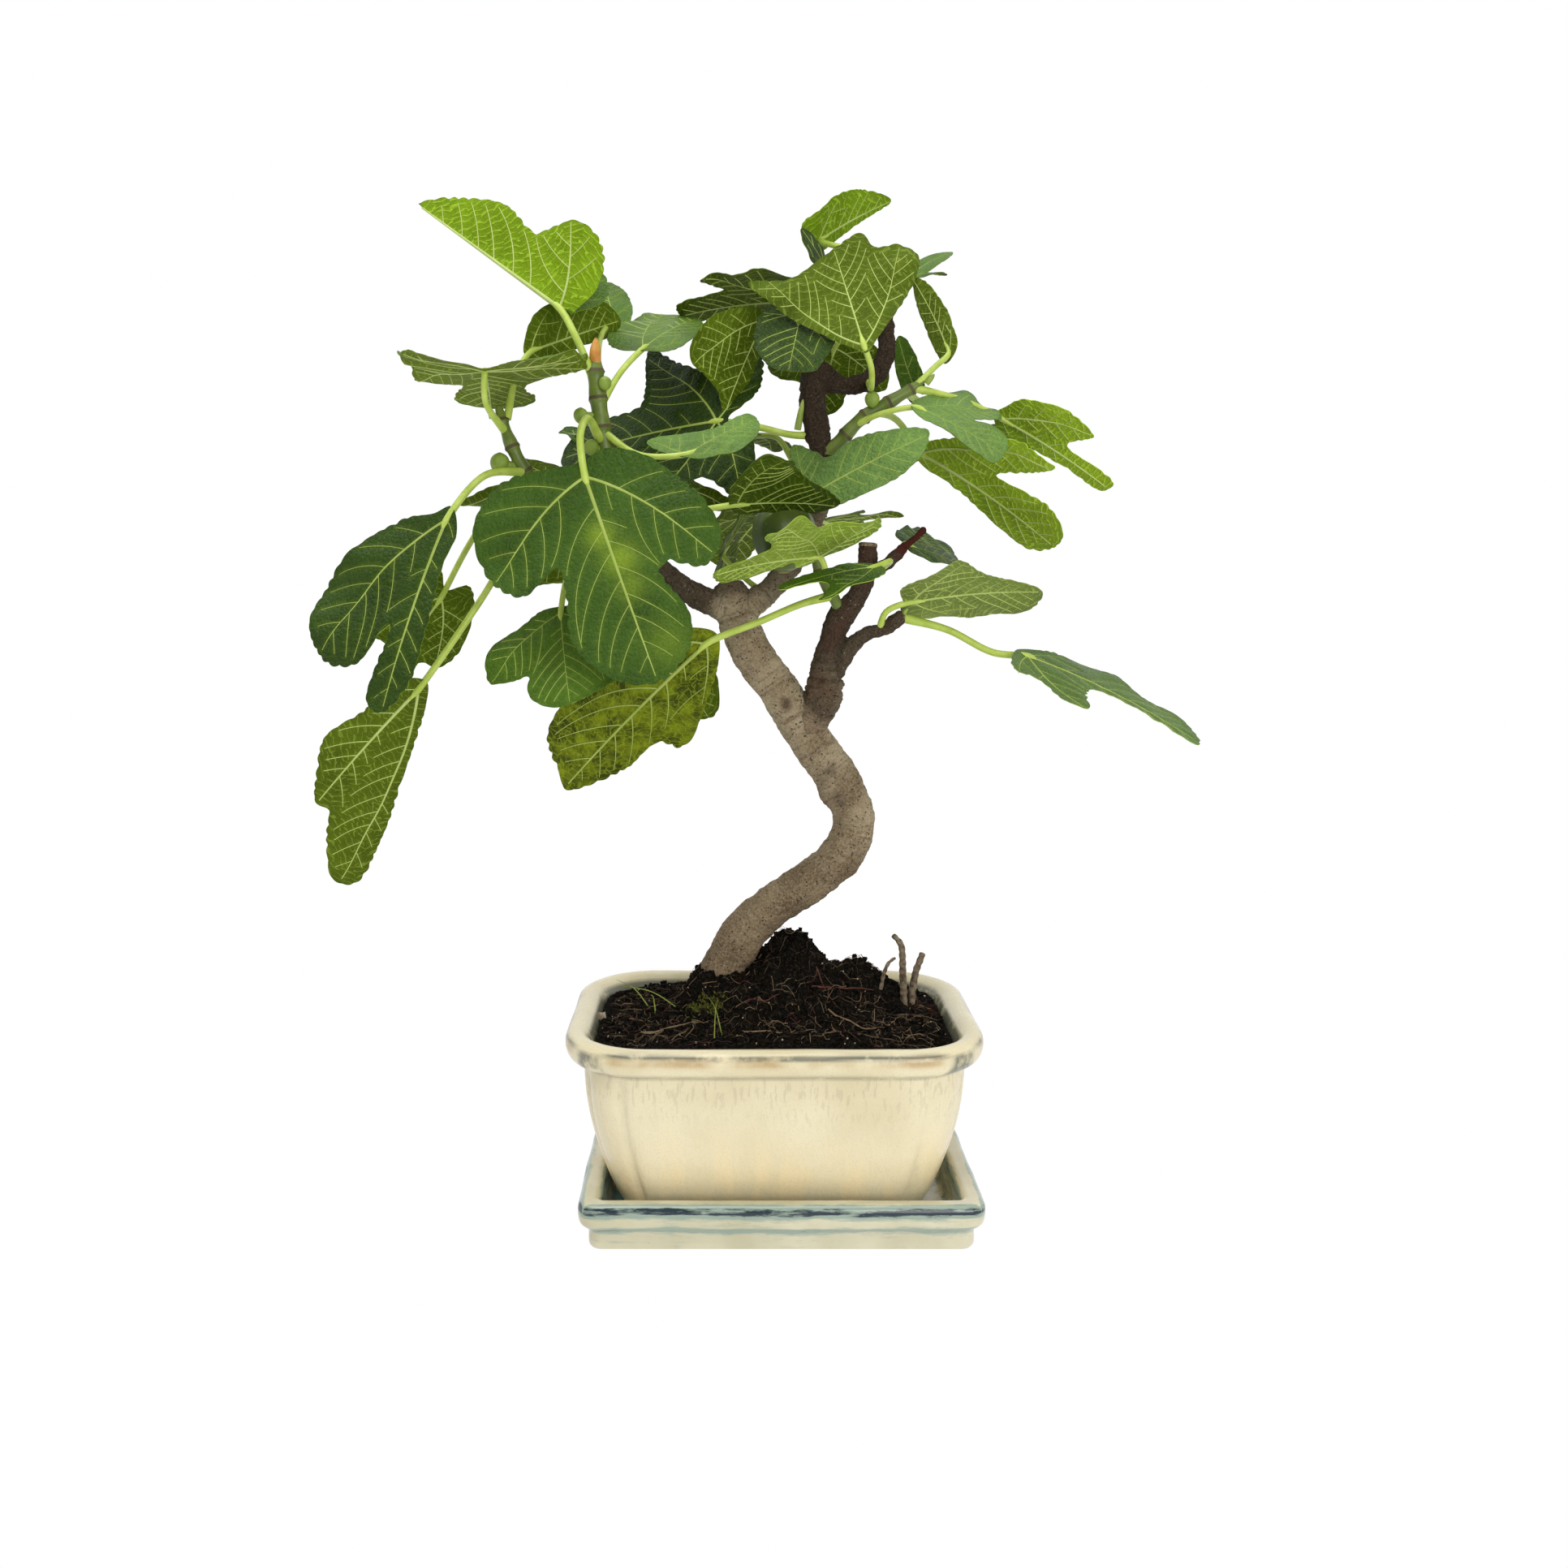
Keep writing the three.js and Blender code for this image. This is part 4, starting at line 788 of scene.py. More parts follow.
def stalk_look(name, base, ends, roughness=0.4):
    """A green stalk, streaked with a second green."""
    look = Look(name, base, roughness=roughness, specular=0.4)
    look.colour(look.spread(look.noise(160, 3), 0.35, 0.7, base, ends))
    look.bump(look.noise(1400, 2), 0.12, 0.5)
    return look.material


def fig_look():
    """The large fig: dark green with pale specks."""
    look = Look("ripe_size_fig", (0.06, 0.1, 0.014), roughness=0.42, specular=0.4)
    look.colour(look.spread(look.noise(60, 3), 0.35, 0.65, (0.045, 0.075, 0.01), (0.085, 0.125, 0.02)))
    look.coat((0.26, 0.33, 0.1), look.fall(look.cells(420, "F1"), 0.1, 0.18), 0.6)
    look.bump(look.noise(300, 3), 0.2, 0.5)
    return look.material


def bark_look():
    """Grey-tan bark with wrinkles, dark pores and pale specks, darker on the boughs and in the scars, with
    painted shade on the trunk's faces that look down and to the right.
    """
    look = Look("bark", (0.22, 0.17, 0.1), roughness=0.86, specular=0.2)
    bands = look.node("ShaderNodeCombineXYZ")
    look.link(look.times(look.attribute("along"), 0.55), bands.inputs[0])
    look.link(look.times(look.noise(55, 2), 3.0), bands.inputs[1])
    wrinkle = look.noise(1.0, 5, vector=bands.outputs[0], roughness=0.65)
    large = look.noise(42, 4)
    fine = look.noise(900, 4, roughness=0.7)
    upper = look.spread(large, 0.35, 0.65, (0.18, 0.125, 0.066), (0.43, 0.355, 0.225))
    lower = look.spread(large, 0.35, 0.65, (0.10, 0.058, 0.026), (0.25, 0.165, 0.083))
    brown = look.spread(fine, 0.35, 0.7, (0.018, 0.011, 0.006), (0.075, 0.05, 0.031))
    low = look.ramp(look.maths("DIVIDE", look.part(look.place, "Z"), 0.4), (0.3, 0.85), (0.58, 0))
    tan = look.mix(low, upper, lower)
    look.colour(look.mix(look.ramp(wrinkle, (0.36, 0.15), (0.5, 1)), (0.13, 0.085, 0.045), tan))
    look.coat((0.54, 0.45, 0.31), look.rise(fine, 0.42, 0.68), 0.45)
    look.coat(brown, look.attribute("shade"))
    look.coat((0.07, 0.014, 0.008), look.attribute("red"))
    pores = look.times(look.fall(look.cells(620, "F1"), 0.2, 0.34), look.rise(look.noise(330, 3), 0.48, 0.6))
    dots = look.times(pores, 0.8)
    look.coat((0.035, 0.022, 0.012), dots)
    specks = look.fall(look.cells(480, "F1"), 0.12, 0.2)
    look.coat((0.42, 0.36, 0.27), look.times(specks, look.rise(look.noise(210, 2), 0.56, 0.64)), 0.6)
    # Dark scars, and painted shade on the trunk's faces that look down and to the right
    look.coat((0.05, 0.03, 0.018), look.attribute("scar_and_shade"))
    look.bump(wrinkle, 0.55)
    look.bump(look.maths("SUBTRACT", fine, look.times(dots, 0.9)), 1.0)
    return look.material


def cut_look():
    """Weathered wood of a pruned end."""
    look = Look("pruned_wood", (0.2, 0.14, 0.08), roughness=0.9, specular=0.15)
    grain = look.noise(700, 4)
    look.colour(look.spread(grain, 0.35, 0.65, (0.075, 0.048, 0.026), (0.26, 0.19, 0.12)))
    look.bump(grain, 0.4)
    return look.material


def pot_look():
    """Cream glaze, tan towards the foot, with thin grey drips under the rim, a blue-grey lip line, a pinhole
    stain and a painted shade line round the foot.
    """
    look = Look("pot_glaze", (0.72, 0.62, 0.4), roughness=0.2, specular=0.4)
    look.glaze(0.15, 0.08)
    uneven = look.times(look.maths("SUBTRACT", look.noise(16, 3), 0.5), 0.03)
    level = look.maths("DIVIDE", look.maths("ADD", look.part(look.place, "Z"), uneven), 0.1)
    look.colour(look.spread(look.noise(24, 5), 0.35, 0.65, (0.68, 0.60, 0.385), (0.76, 0.685, 0.465)))
    runs = look.rise(look.noise(1, 3, vector=look.stretch(70, 70, 9)), 0.46, 0.56)
    foot = look.times(look.ramp(level, (0.1, 1), (0.3, 0.75), (0.62, 0)),
        look.maths("ADD", look.times(runs, 0.6), 0.4))
    look.coat((0.90, 0.72, 0.42), foot)
    look.coat((0.55, 0.44, 0.25), look.rise(look.noise(1300, 3, roughness=0.7), 0.5, 0.68), 0.3)
    drips = look.rise(look.noise(1, 2, vector=look.stretch(560, 560, 130)), 0.55, 0.62)
    under_rim = look.ramp(level, (0.6, 0), (0.76, 1), (0.84, 1), (0.87, 0))
    look.coat((0.42, 0.36, 0.25), look.times(drips, under_rim), 0.3)
    look.coat((0.3, 0.22, 0.12), look.fall(look.cells(160, "F1"), 0.0, 0.035), 0.6)
    patchy = look.rise(look.noise(60, 5, roughness=0.65), 0.32, 0.5)
    look.coat((0.10, 0.112, 0.085), look.times(look.attribute("lip"), patchy), 0.95)
    worn = look.rise(look.noise(45, 4), 0.35, 0.6)
    look.coat((0.42, 0.28, 0.12), look.times(look.attribute("rust"), worn), 0.85)
    # The pinhole's stain, and a painted shade line round the foot
    look.coat((0.12, 0.11, 0.075), look.attribute("stain_and_foot_shade"))
    look.bump(look.noise(140, 3), 0.25, 0.4)
    look.bump(drips, -0.12, 0.5)
    return look.material


def saucer_look():
    """Cream glaze that broke to blue-green along the edges and pooled in the tray."""
    look = Look("saucer_glaze", (0.6, 0.57, 0.4), roughness=0.18, specular=0.4)
    look.glaze(0.3, 0.06)
    look.colour(look.spread(look.noise(30, 4), 0.35, 0.65, (0.51, 0.475, 0.31), (0.64, 0.60, 0.43)))
    smear = look.noise(1, 5, vector=look.stretch(45, 45, 320), roughness=0.7)
    uneven = look.times(look.maths("SUBTRACT", smear, 0.5), 1.6)
    worn = look.maths("ADD", look.attribute("edge"), uneven)
    look.coat((0.2, 0.3, 0.26), look.ramp(worn, (0.12, 0), (0.5, 0.8)))
    look.coat((0.012, 0.026, 0.036), look.rise(worn, 0.8, 1.0))
    pools = look.rise(look.noise(46, 5, roughness=0.6), 0.44, 0.56)
    look.coat((0.09, 0.17, 0.165), look.times(look.attribute("tray"), pools))
    look.coat((0.1, 0.08, 0.05), look.fall(look.cells(130, "F1"), 0.0, 0.04), 0.7)
    look.bump(look.noise(120, 3), 0.3, 0.4)
    return look.material


def soil_look(name, dark, light):
    look = Look(name, dark, roughness=0.95, specular=0.04)
    grain = look.noise(700, 6, roughness=0.75)
    look.colour(look.spread(grain, 0.5, 0.8, dark, light))
    look.bump(grain, 1.2)
    return look.material


def plain_look(name, base, other, scale=300, roughness=0.7):
    """Two colours in soft patches."""
    look = Look(name, base, roughness=roughness, specular=0.3)
    look.colour(look.spread(look.noise(scale, 4), 0.35, 0.65, base, other))
    look.bump(look.noise(scale * 3, 3), 0.15, 0.6)
    return look.material


def margin(length, wide, outline):
    """A leaf's margin laid flat: a smooth closed line through its turns, with rounded teeth."""
    turns = np.array([*OUTLINES[outline], [180, NOTCH]], float)
    a = np.radians(turns[:, 0])
    corners = np.stack([np.cos(a), np.sin(a) * wide], 1) * turns[:, 1:] * length
    line = spline(corners, MARGIN_STEP, closed=True)[0][:-1]
    way = run(line)
    share = way / (way[-1] + MARGIN_STEP)
    teeth = round(way[-1] / TOOTH)
    phase = math.pi * teeth * share + 1.6 * np.sin(6 * math.pi * share)
    phase += 1.2 * np.sin(23 * share) + 0.7 * np.sin(61 * share)
    depth = TOOTH_DEPTH * length * (1 + 0.6 * np.sin(40 * share))
    tooth = (np.abs(np.sin(phase)) - 0.65) * depth
    tooth *= soft_step(np.linalg.norm(line, axis=1), 0.1 * length, 0.3 * length)
    tangent = unit(np.roll(line, -1, 0) - np.roll(line, 1, 0))
    return line + np.stack([tangent[:, 1], -tangent[:, 0]], 1) * tooth[:, None]


def inside(points, loop):
    """Which points lie within the closed loop."""
    x, y = points[:, :1], points[:, 1:]
    x0, y0 = loop[:, 0], loop[:, 1]
    x1, y1 = np.roll(x0, -1), np.roll(y0, -1)
    crossing = (y0 > y) != (y1 > y)
    at = x0 + (y - y0) * (x1 - x0) / np.where(np.abs(y1 - y0) < 1e-9, 1e-9, y1 - y0)
    return (crossing & (x < at)).sum(1) % 2 == 1


def nearest(points, others):
    """How far each point is from the closest of the others."""
    gaps = np.full(len(points), 1e9)
    for start in range(0, len(others), 400):
        block = others[start:start + 400]
        gaps = np.minimum(gaps, np.linalg.norm(points[:, None] - block[None], axis=2).min(1))
    return gaps


def lobe_tips(loop, length):
    """The angle and reach of the midrib and of each lobe's main vein."""
    angles = np.arctan2(loop[:, 1], loop[:, 0])
    reach = np.linalg.norm(loop, axis=1)
    grid = np.radians(np.arange(-LOBE_SEARCH, LOBE_SEARCH + 1, LOBE_STEP))
    order = np.argsort(angles)
    profile = np.interp(grid, angles[order], reach[order])
    smooth = evened(profile)
    tips = [(0.0, float(np.interp(0, grid, profile)))]
    for side in (-1, 1):
        found = []
        for k in range(2, len(grid) - 2):
            peak = smooth[k] >= smooth[k - 2:k + 3].max() - 1e-9
            if peak and side * grid[k] > math.radians(LOBE_OFF_MIDRIB) and smooth[k] > 0.3 * length:
                if all(abs(grid[k] - other) > math.radians(LOBE_APART) for other, _ in found):
                    found.append((float(grid[k]), float(profile[k])))
        if not found:
            lateral = side * math.radians(LATERAL)
            found.append((lateral, 0.85 * float(np.interp(lateral, grid, profile))))
        tips += found
    return tips, grid, profile


def vein_lines(loop, length):
    """The veins laid flat: for each its points, and its radii from base to tip. Side veins leave a main
    vein by turns, and end at the margin or where another main vein is nearer."""
    tips, grid, profile = lobe_tips(loop, length)
    mains = []
    for angle, reach in tips:
        end = facing(angle) * reach * 0.97
        bow = np.array([-end[1], end[0]]) * 0.07 * np.sign(angle)
        t = np.linspace(0, 1, max(6, round(reach / 3.5)))[:, None]
        line = end * t + bow * 4 * t * (1 - t) * (1 - 0.5 * t)
        size = VEIN_RADIUS * length * (1.0 if angle == 0 else LOBE_VEIN) * min(1.0, 0.35 + reach / length)
        mains.append((line, np.linspace(size, VEIN_TAPER * size, len(line)), angle))
    veins = [(line, radii) for line, radii, _ in mains]
    angles = np.array([angle for _, _, angle in mains])
    spacing = max(SIDE_GAP[0], SIDE_GAP[1] * length)
    for k, (line, radii, _) in enumerate(mains):
        way = run(line)
        for number, at in enumerate(np.arange(0.13 * way[-1] + 2, 0.94 * way[-1], spacing / 2)):
            side = 1 if number % 2 else -1
            turn = math.sin(4.1 * number + 2.3 * k + length)
            at = min(at + 0.07 * spacing * math.sin(7.3 * number + 1.9 * k + length), 0.95 * way[-1])
            start = np.array([np.interp(at, way, line[:, i]) for i in (0, 1)])
            ahead = np.array([np.interp(at + 2, way, line[:, i]) for i in (0, 1)])
            lean = SIDE_LEAN[0] - SIDE_LEAN[1] * at / way[-1] + 2.5 * turn
            heading = math.atan2(*(ahead - start)[::-1]) + side * math.radians(lean)
            path = [start]
            for _ in range(60):
                heading -= side * math.radians(SIDE_BEND + 0.5 * turn)
                step = path[-1] + SIDE_STEP * facing(heading)
                polar = math.atan2(step[1], step[0])
                past = np.linalg.norm(step) > 0.955 * np.interp(polar, grid, profile)
                if past or np.argmin(np.abs(angles - polar)) != k:
                    break
                path.append(step)
            path = np.array(path)
            clear = inside(path, loop) & (nearest(path, loop) > SIDE_CLEAR)
            path = path[:len(path) if clear.all() else clear.argmin()]
            if len(path) > 3:
                own = 0.32 * np.interp(at, way, radii) + 0.15
                veins.append((path, np.linspace(own, THIN_VEIN, len(path))))
    return veins


def vein_places(veins):
    """Rows of [x, y, way x, way y, distance along] for points close together on every vein. Each vein's
    distances start elsewhere, so that the fine nets beside them differ."""
    step = 2.0
    rows = []
    for number, (line, _) in enumerate(veins):
        flat = spline(line, step)[0]
        along = step * np.arange(len(flat)) + 37.7 * number
        rows.append(np.column_stack([flat, unit(np.gradient(flat, axis=0)), along]))
    return np.vstack(rows)


def ladder_plan(flat, faces, net):
    """For each corner, its distances along and away from the vein nearest to its face."""
    middles = flat[faces].mean(1)
    row = np.concatenate([
        np.linalg.norm(block[:, None] - net[None, :, :2], axis=2).argmin(1)
        for block in np.array_split(middles, max(1, len(middles) // 400))
    ])
    near = net[row][:, None]
    offset = flat[faces] - near[..., :2]
    along = (offset * near[..., 2:4]).sum(-1) + near[..., 4]
    away = offset[..., 1] * near[..., 2] - offset[..., 0] * near[..., 3]
    return np.stack([along, LADDER * away], -1)


def leaf_plan(leaf):
    """A blade laid flat: its length, points, triangles and veins, and the places along the veins."""
    length = float(np.linalg.norm(np.subtract(leaf["tip"], leaf["base"])))
    loop = margin(length, leaf["wide"], leaf["outline"])
    veins = vein_lines(loop, length)
    net = vein_places(veins)
    ribs = net[:, :2]
    low, high = loop.min(0), loop.max(0)
    rows = np.arange(low[1], high[1], CELL * 0.87)
    columns = np.arange(low[0], high[0], CELL)
    spots = np.array([[x + (CELL / 2 if n % 2 else 0), y] for n, y in enumerate(rows) for x in columns])
    spots = spots[inside(spots, loop)]
    ribs = ribs[inside(ribs, loop)]
    ribs = ribs[nearest(ribs, loop) > 0.9]
    spots = spots[nearest(spots, loop) > 0.45 * CELL]
    spots = spots[nearest(spots, ribs) > 0.5 * CELL]
    points = np.vstack([loop, ribs, spots])
    ring = list(range(len(loop)))
    flat, _, faces = geometry.delaunay_2d_cdt([Vector(p) for p in points], [], [ring], 1, 1e-4, False)[:3]
    flat = np.array([tuple(p) for p in flat])
    faces = np.array(faces)
    faces = faces[inside(flat[faces].mean(1), loop)]
    a, b, c = (flat[faces[:, i]] for i in range(3))
    flip = np.cross(b - a, c - a) < 0
    faces[flip] = faces[flip][:, ::-1]
    return length, flat, faces, veins, ribs, net


def surface(leaf, length, phase):
    """How a leaf's flat places come to lie in space: a function that gives points and unit normals."""
    along = unit(np.subtract(leaf["tip"], leaf["base"]))
    up = np.array(leaf["face"], float)
    up = unit(up - along * (up @ along))
    side = np.cross(up, along)

    def place(flat):
        x, y = flat.T
        u, v = x / length, y / length
        ripple = leaf["wave"] * length * np.sin(15 * x / length + phase + np.sign(y))
        lift = (leaf["arch"] * u * (1 - u) - leaf["droop"] * v**2) * length
        lift += ripple * np.clip(np.abs(y) / length, 0, 0.8)**1.4
        turn = np.radians(np.where(y < 0, -leaf["fold"], np.where(y == 0, -leaf["fold"] / 2, 0)))
        across_blade = turned(side, along, turn) * y[:, None]
        return leaf["base"] + along * x[:, None] + across_blade + turned(up, along, turn) * lift[:, None]

    def with_normals(flat):
        step = 0.25
        dx = place(flat + [step, 0]) - place(flat - [step, 0])
        lean = np.where(flat[:, 1:] < 0, -step, step)
        dy = (place(flat + np.hstack([0 * lean, lean])) - place(flat)) * np.sign(lean)
        return place(flat), unit(np.cross(dx, dy))

    return with_normals


def blade_skins(heap, leaf, plan, place, cell, slots, pale):
    """Upper skin, underside and margin of one blade."""
    length, flat, faces, _, ribs, net = plan
    points, normals = place(flat)
    to_rib = nearest(flat, ribs)
    puff = PUFF * min(1, length / 90) * (1 - hump(to_rib, PUFF_REACH))
    upper = points + normals * (BLADE_THICKNESS / 2 + puff)[:, None]
    under = points + normals * (puff - BLADE_THICKNESS / 2)[:, None]
    middle = (flat.min(0) + flat.max(0)) / 2
    for number, (skin, order) in enumerate(((upper, faces), (under, faces[:, ::-1]))):
        spot = 2 * cell + number
        centre = np.array([spot % SHEET_CELLS + 0.5, spot // SHEET_CELLS + 0.5]) / SHEET_CELLS
        packed = centre + (flat - middle) / (SHEET_CELLS * SHEET_CELL)
        laid = ladder_plan(flat, order, net) * MM + [0.31 * cell, 0.17 * number]
        heap.add(skin, order, slots[number], packed[order], laid)
    count = len(points)
    edges = np.vstack([faces[:, [0, 1]], faces[:, [1, 2]], faces[:, [2, 0]]])
    key = np.sort(edges, 1) @ [count, 1]
    _, first, times = np.unique(key, return_index=True, return_counts=True)
    rim = edges[first[times == 1]]
    base = heap.count - 2 * count
    strip = np.stack([rim[:, 1], rim[:, 0], rim[:, 0] + count, rim[:, 1] + count], 1)
    heap.add(np.zeros((0, 3)), strip + base - heap.count, slots[1])
    glow = 0.14 * hump(to_rib, 0.9)
    for x, y, size, strength in leaf["spots"]:
        gap = np.linalg.norm(flat / length - [x, y], axis=1)
        glow = np.maximum(glow, strength * hump(gap, size))
    pale += [glow, glow]


def vein_tubes(heap, plan, place, slots):
    """Half-sunk ribs, fuller on the underside, with a colour for each side."""
    for line, radii in plan[3]:
        flat, places = spline(line, 2.6)
        size = np.interp(places, np.arange(len(radii)), radii)
        points, normals = place(flat)
        ways = unit(np.gradient(points, axis=0))
        sideways = np.cross(ways, normals)
        sides = 8 if radii[0] > 0.7 else 5
        a = circle(sides)
        wide = np.cos(a)[None, :, None] * (sideways * size[:, None])[:, None]
        tall = np.sin(a)[None, :, None] * (normals * np.maximum(size, LEAST_RISE)[:, None])[:, None]
        centres = points - normals * (0.3 * size)[:, None]
        heap.grid(centres[:, None] + (wide - tall)[:, ::-1], slots[1])
        # The rib's faces, which come before its two end fans, take the colour of the side they look to
        above = np.sin(2 * math.pi * (np.arange(sides) + 1.5) / sides) > 0
        heap.slots[-3] = np.tile(np.where(above, *slots).astype(np.int32), len(points) - 1)


def petiole_tube(heap, leaf, length):
    """A stalk from the shoot to a little way under the blade, swollen at both ends."""
    overlap = 6
    end = np.array(leaf["base"]) + overlap * unit(np.subtract(leaf["tip"], leaf["base"]))
    centres, places = spline([*leaf["way"], leaf["base"], end.tolist()], 1.8)
    last = len(leaf["way"]) + 1
    slim = 1.15 + 0.006 * length
    share = places / last
    radii = slim * (1 + 0.35 * hump(share, 0.16) + 0.12 * hump(share - 0.85, 0.12))
    radii *= 1 - 0.55 * soft_step(places, last - 1, last)
    tube(heap, centres, radii, 12, 0, dome=1)


def stem_tube(heap, stem):
    """A green shoot with a ring of scars at each node."""
    step = 0.8
    node_gap = 13
    centres, radii = limb_line(*stem, step)
    way = np.arange(len(centres)) * step
    rings = hump((way + 5) % node_gap - node_gap / 2, 0.7)
    radii = radii + (0.45 * rings + 0.25 * np.sin(way / node_gap * 2 * math.pi))
    tube(heap, centres, radii, 20, 1, dome=1)
    for k in np.flatnonzero((rings > 0.8) & (np.roll(rings, 1) <= 0.8)):
        if 2 < k < len(centres) - 4:
            tube(heap, centres[k:k + 3], radii[k:k + 3] + 0.12, 20, 2)


def bud(heap, tip, way, height, radius, slot):
    """A pointed bud of overlapping scales."""
    t = np.linspace(0, 1, 14)
    centres = np.array(tip) + unit(way) * (t * height)[:, None]
    radii = radius * np.sin(math.pi * np.clip(0.28 + 0.72 * t, 0, 1)) ** 0.8 * (1 - 0.25 * t) + 0.12
    a = circle(16)
    swell = 0.1 * radius * np.sin(2 * a + 5 * t[:, None])
    tube(heap, centres, radii, 16, slot, swell)


def fig_fruit(heap, x, y, z, radius, foot):
    """A fig: ribbed, with a neck from its foot on the stem and a raised eye. The large one is finer, and
    has its own colour."""
    large = radius > LARGE_FIG
    rows, cols = (44, 72) if large else (22, 32)
    t = np.linspace(0.015, 0.985, rows)[:, None] * math.pi
    a = circle(cols)[None]
    reach = np.sin(t) * (1 - 0.1 * np.cos(t))
    reach = reach * (1 + 0.022 * np.cos(11 * a) * np.sin(t))
    height = np.cos(t) * 1.12 + 0 * a - 0.07 * hump(t - math.pi, 0.22)
    points = np.stack([reach * np.cos(a), reach * np.sin(a), -height], -1) * radius + [x, y, z]
    heap.grid(points, int(large))
    eye = np.array([[x, y, z - radius * 1.17], [x, y, z - radius * 1.13], [x, y, z - radius * 1.02]])
    tube(heap, eye, [0.1 * radius, 0.2 * radius, 0.22 * radius], 14, 2)
    neck = np.linspace(foot, [x, y, z], 9)
    tube(heap, neck, np.linspace(0.32, 0.6, 9) * min(radius, STOUTEST_NECK), 14, int(large))


def foliage():
    """Blades by shoot, and the veins, stalks and figs of all shoots, each kind joined."""
    upper_tones = {leaf["tones"][0] for shoot in SHOOTS.values() for leaf in shoot["leaves"]}
    looks = {name: leaf_look("leaf_" + name, tone, name not in upper_tones)
        for name, tone in TONES.items() if name != "mottled"}
    looks["mottled"] = mottled_look("leaf_mottled", TONES["mottled"])
    veins = {"left": Heap(), "right": Heap()}
    stalks = Heap()
    fruit = Heap()
    for number, (node, shoot) in enumerate(SHOOTS.items()):
        blades = Heap()
        pale = []
        used = [tone for tone in TONES if any(tone in leaf["tones"] for leaf in shoot["leaves"])]
        for cell, leaf in enumerate(shoot["leaves"]):
            plan = leaf_plan(leaf)
            place = surface(leaf, plan[0], 1.7 * number + 2.3 * cell)
            blade_skins(blades, leaf, plan, place, cell, [used.index(tone) for tone in leaf["tones"]], pale)
            side = "left" if leaf["base"][0] < VEINS_PART else "right"
            vein_tubes(veins[side], plan, place, [0 if tone in BRIGHT_VEIN else 1 for tone in leaf["tones"]])
            petiole_tube(stalks, leaf, plan[0])
        if "stem" in shoot:
            stem_tube(stalks, shoot["stem"])
        for fig in shoot.get("figs", []):
            fig_fruit(fruit, *fig)
        materials = [looks[tone] for tone in used]
        make_piece(node + "_blades", blades, materials, [node], {"pale": np.concatenate(pale)}, 65)
    vein_looks = [
        plain_look("vein_bright", (0.38, 0.47, 0.12), (0.45, 0.54, 0.17), 90, 0.5),
        plain_look("vein_dull", (0.27, 0.35, 0.06), (0.33, 0.41, 0.09), 90, 0.5),
    ]
    for side, heap in veins.items():
        make_piece("leaf_veins_" + side, heap, vein_looks)
    make_piece("leaf_stalks_and_shoots", stalks, [
        stalk_look("petiole_green", (0.36, 0.47, 0.06), (0.47, 0.58, 0.11)),
        stalk_look("shoot_green", (0.09, 0.135, 0.015), (0.15, 0.2, 0.03)),
        stalk_look("node_scar", (0.05, 0.04, 0.012), (0.11, 0.09, 0.03), 0.7),
    ])
    make_piece("young_figs", fruit, [
        plain_look("young_fig", (0.16, 0.24, 0.03), (0.24, 0.33, 0.05), 220, 0.5),
        fig_look(),
        plain_look("fig_eye", (0.10, 0.10, 0.02), (0.18, 0.16, 0.04), 500, 0.6),
    ])


# Marks on the bark: place, reach, height above the bark and how dark
BARK_MARKS = [
    [(24, 0, 214), 5.5, 3.2, 0.5], [(29, -6, 213), 4.5, -1.4, 1.0], [(23, -3, 222), 4, 1.6, 0.5],
    [(29, -7, 206), 4, -0.9, 0.8], [(26, -4, 228), 3, -0.7, 0.7],
    [(42, -6, 184), 5, 0.5, 0.3], [(47, -4, 181), 2.6, 0.9, 0.6], [(3, -5, 263), 2.6, 0.5, 0.75],
    [(50, 3, 188), 1.6, 0.9, 0.5], [(49, 5, 212), 1.4, 0.9, 0.4], [(21, 0, 158), 2, 1, 0.5],
    [(30, -2, 163), 2, 1.1, 0.4], [(14, -2, 153), 1.8, 0.9, 0.4], [(37, -2, 169), 2, 0.9, 0.5],
    [(28, -4, 250), 3, 0.8, 0.1], [(23, -7, 262), 3.4, 0.9, 0.3], [(27, -6, 256), 2.6, -0.6, 0.7],
    [(22, 16, 226), 2.4, 0.6, 0.5], [(44, 16, 196), 2.6, 0.6, 0.4], [(2, 16, 255), 2.4, 0.6, 0.4],
    [(53, 4, 437), 3, 0.8, 0.0], [(-17, -4, 300), 3, 0.5, 0.4], [(20, -3, 434), 4.5, 3.6, 0.3],
    [(30, -4, 431), 4, 3, 0.5], [(12, -1, 425), 3.4, 2.6, 0.5], [(25, -8, 428), 2.6, -1.6, 0.9],
]

# How dark each limb's bark is, and the size of its own roughness
LIMB_SHADES = {
    "trunk": (0.0, 0.0), "left_bough": (0.85, 0.35), "far_left_bough": (0.9, 0.3),
    "middle_bough": (0.55, 0.35), "upper_bough": (1.0, 1.0), "top_bough": (1.0, 0.7),
    "right_bough": (0.95, 0.3), "side_bough": (0.9, 0.3), "right_twig": (0.9, 0.25),
}

# Trunk and boughs are drawn as tubes, grown together on a grid of this spacing, and smoothed
VOXEL = 0.85
SMOOTHING = (0.5, 5)
FORKS = ("left_bough", "middle_bough", "right_bough")


def grown_wood(limbs):
    """One skin over all limbs. Those that rise from the trunk's fork have rounded ends."""
    rough = Heap()
    for name, limb in limbs.items():
        centres, radii = limb_line(*limb, 1.5)
        tube(rough, centres, radii, 36, dome=0.7 if name in ("trunk", "left_bough", "middle_bough") else 0)
    draft = put("wood_draft", draft_mesh("wood_draft", rough))
    remesh = draft.modifiers.new("grow", "REMESH")
    remesh.mode = "VOXEL"
    remesh.voxel_size = VOXEL * MM
    even = draft.modifiers.new("even", "SMOOTH")
    even.factor, even.iterations = SMOOTHING
    grown = bpy.data.meshes.new_from_object(draft.evaluated_get(bpy.context.evaluated_depsgraph_get()))
    bpy.data.objects.remove(draft)
    grown.name = "wood_bark"
    return grown


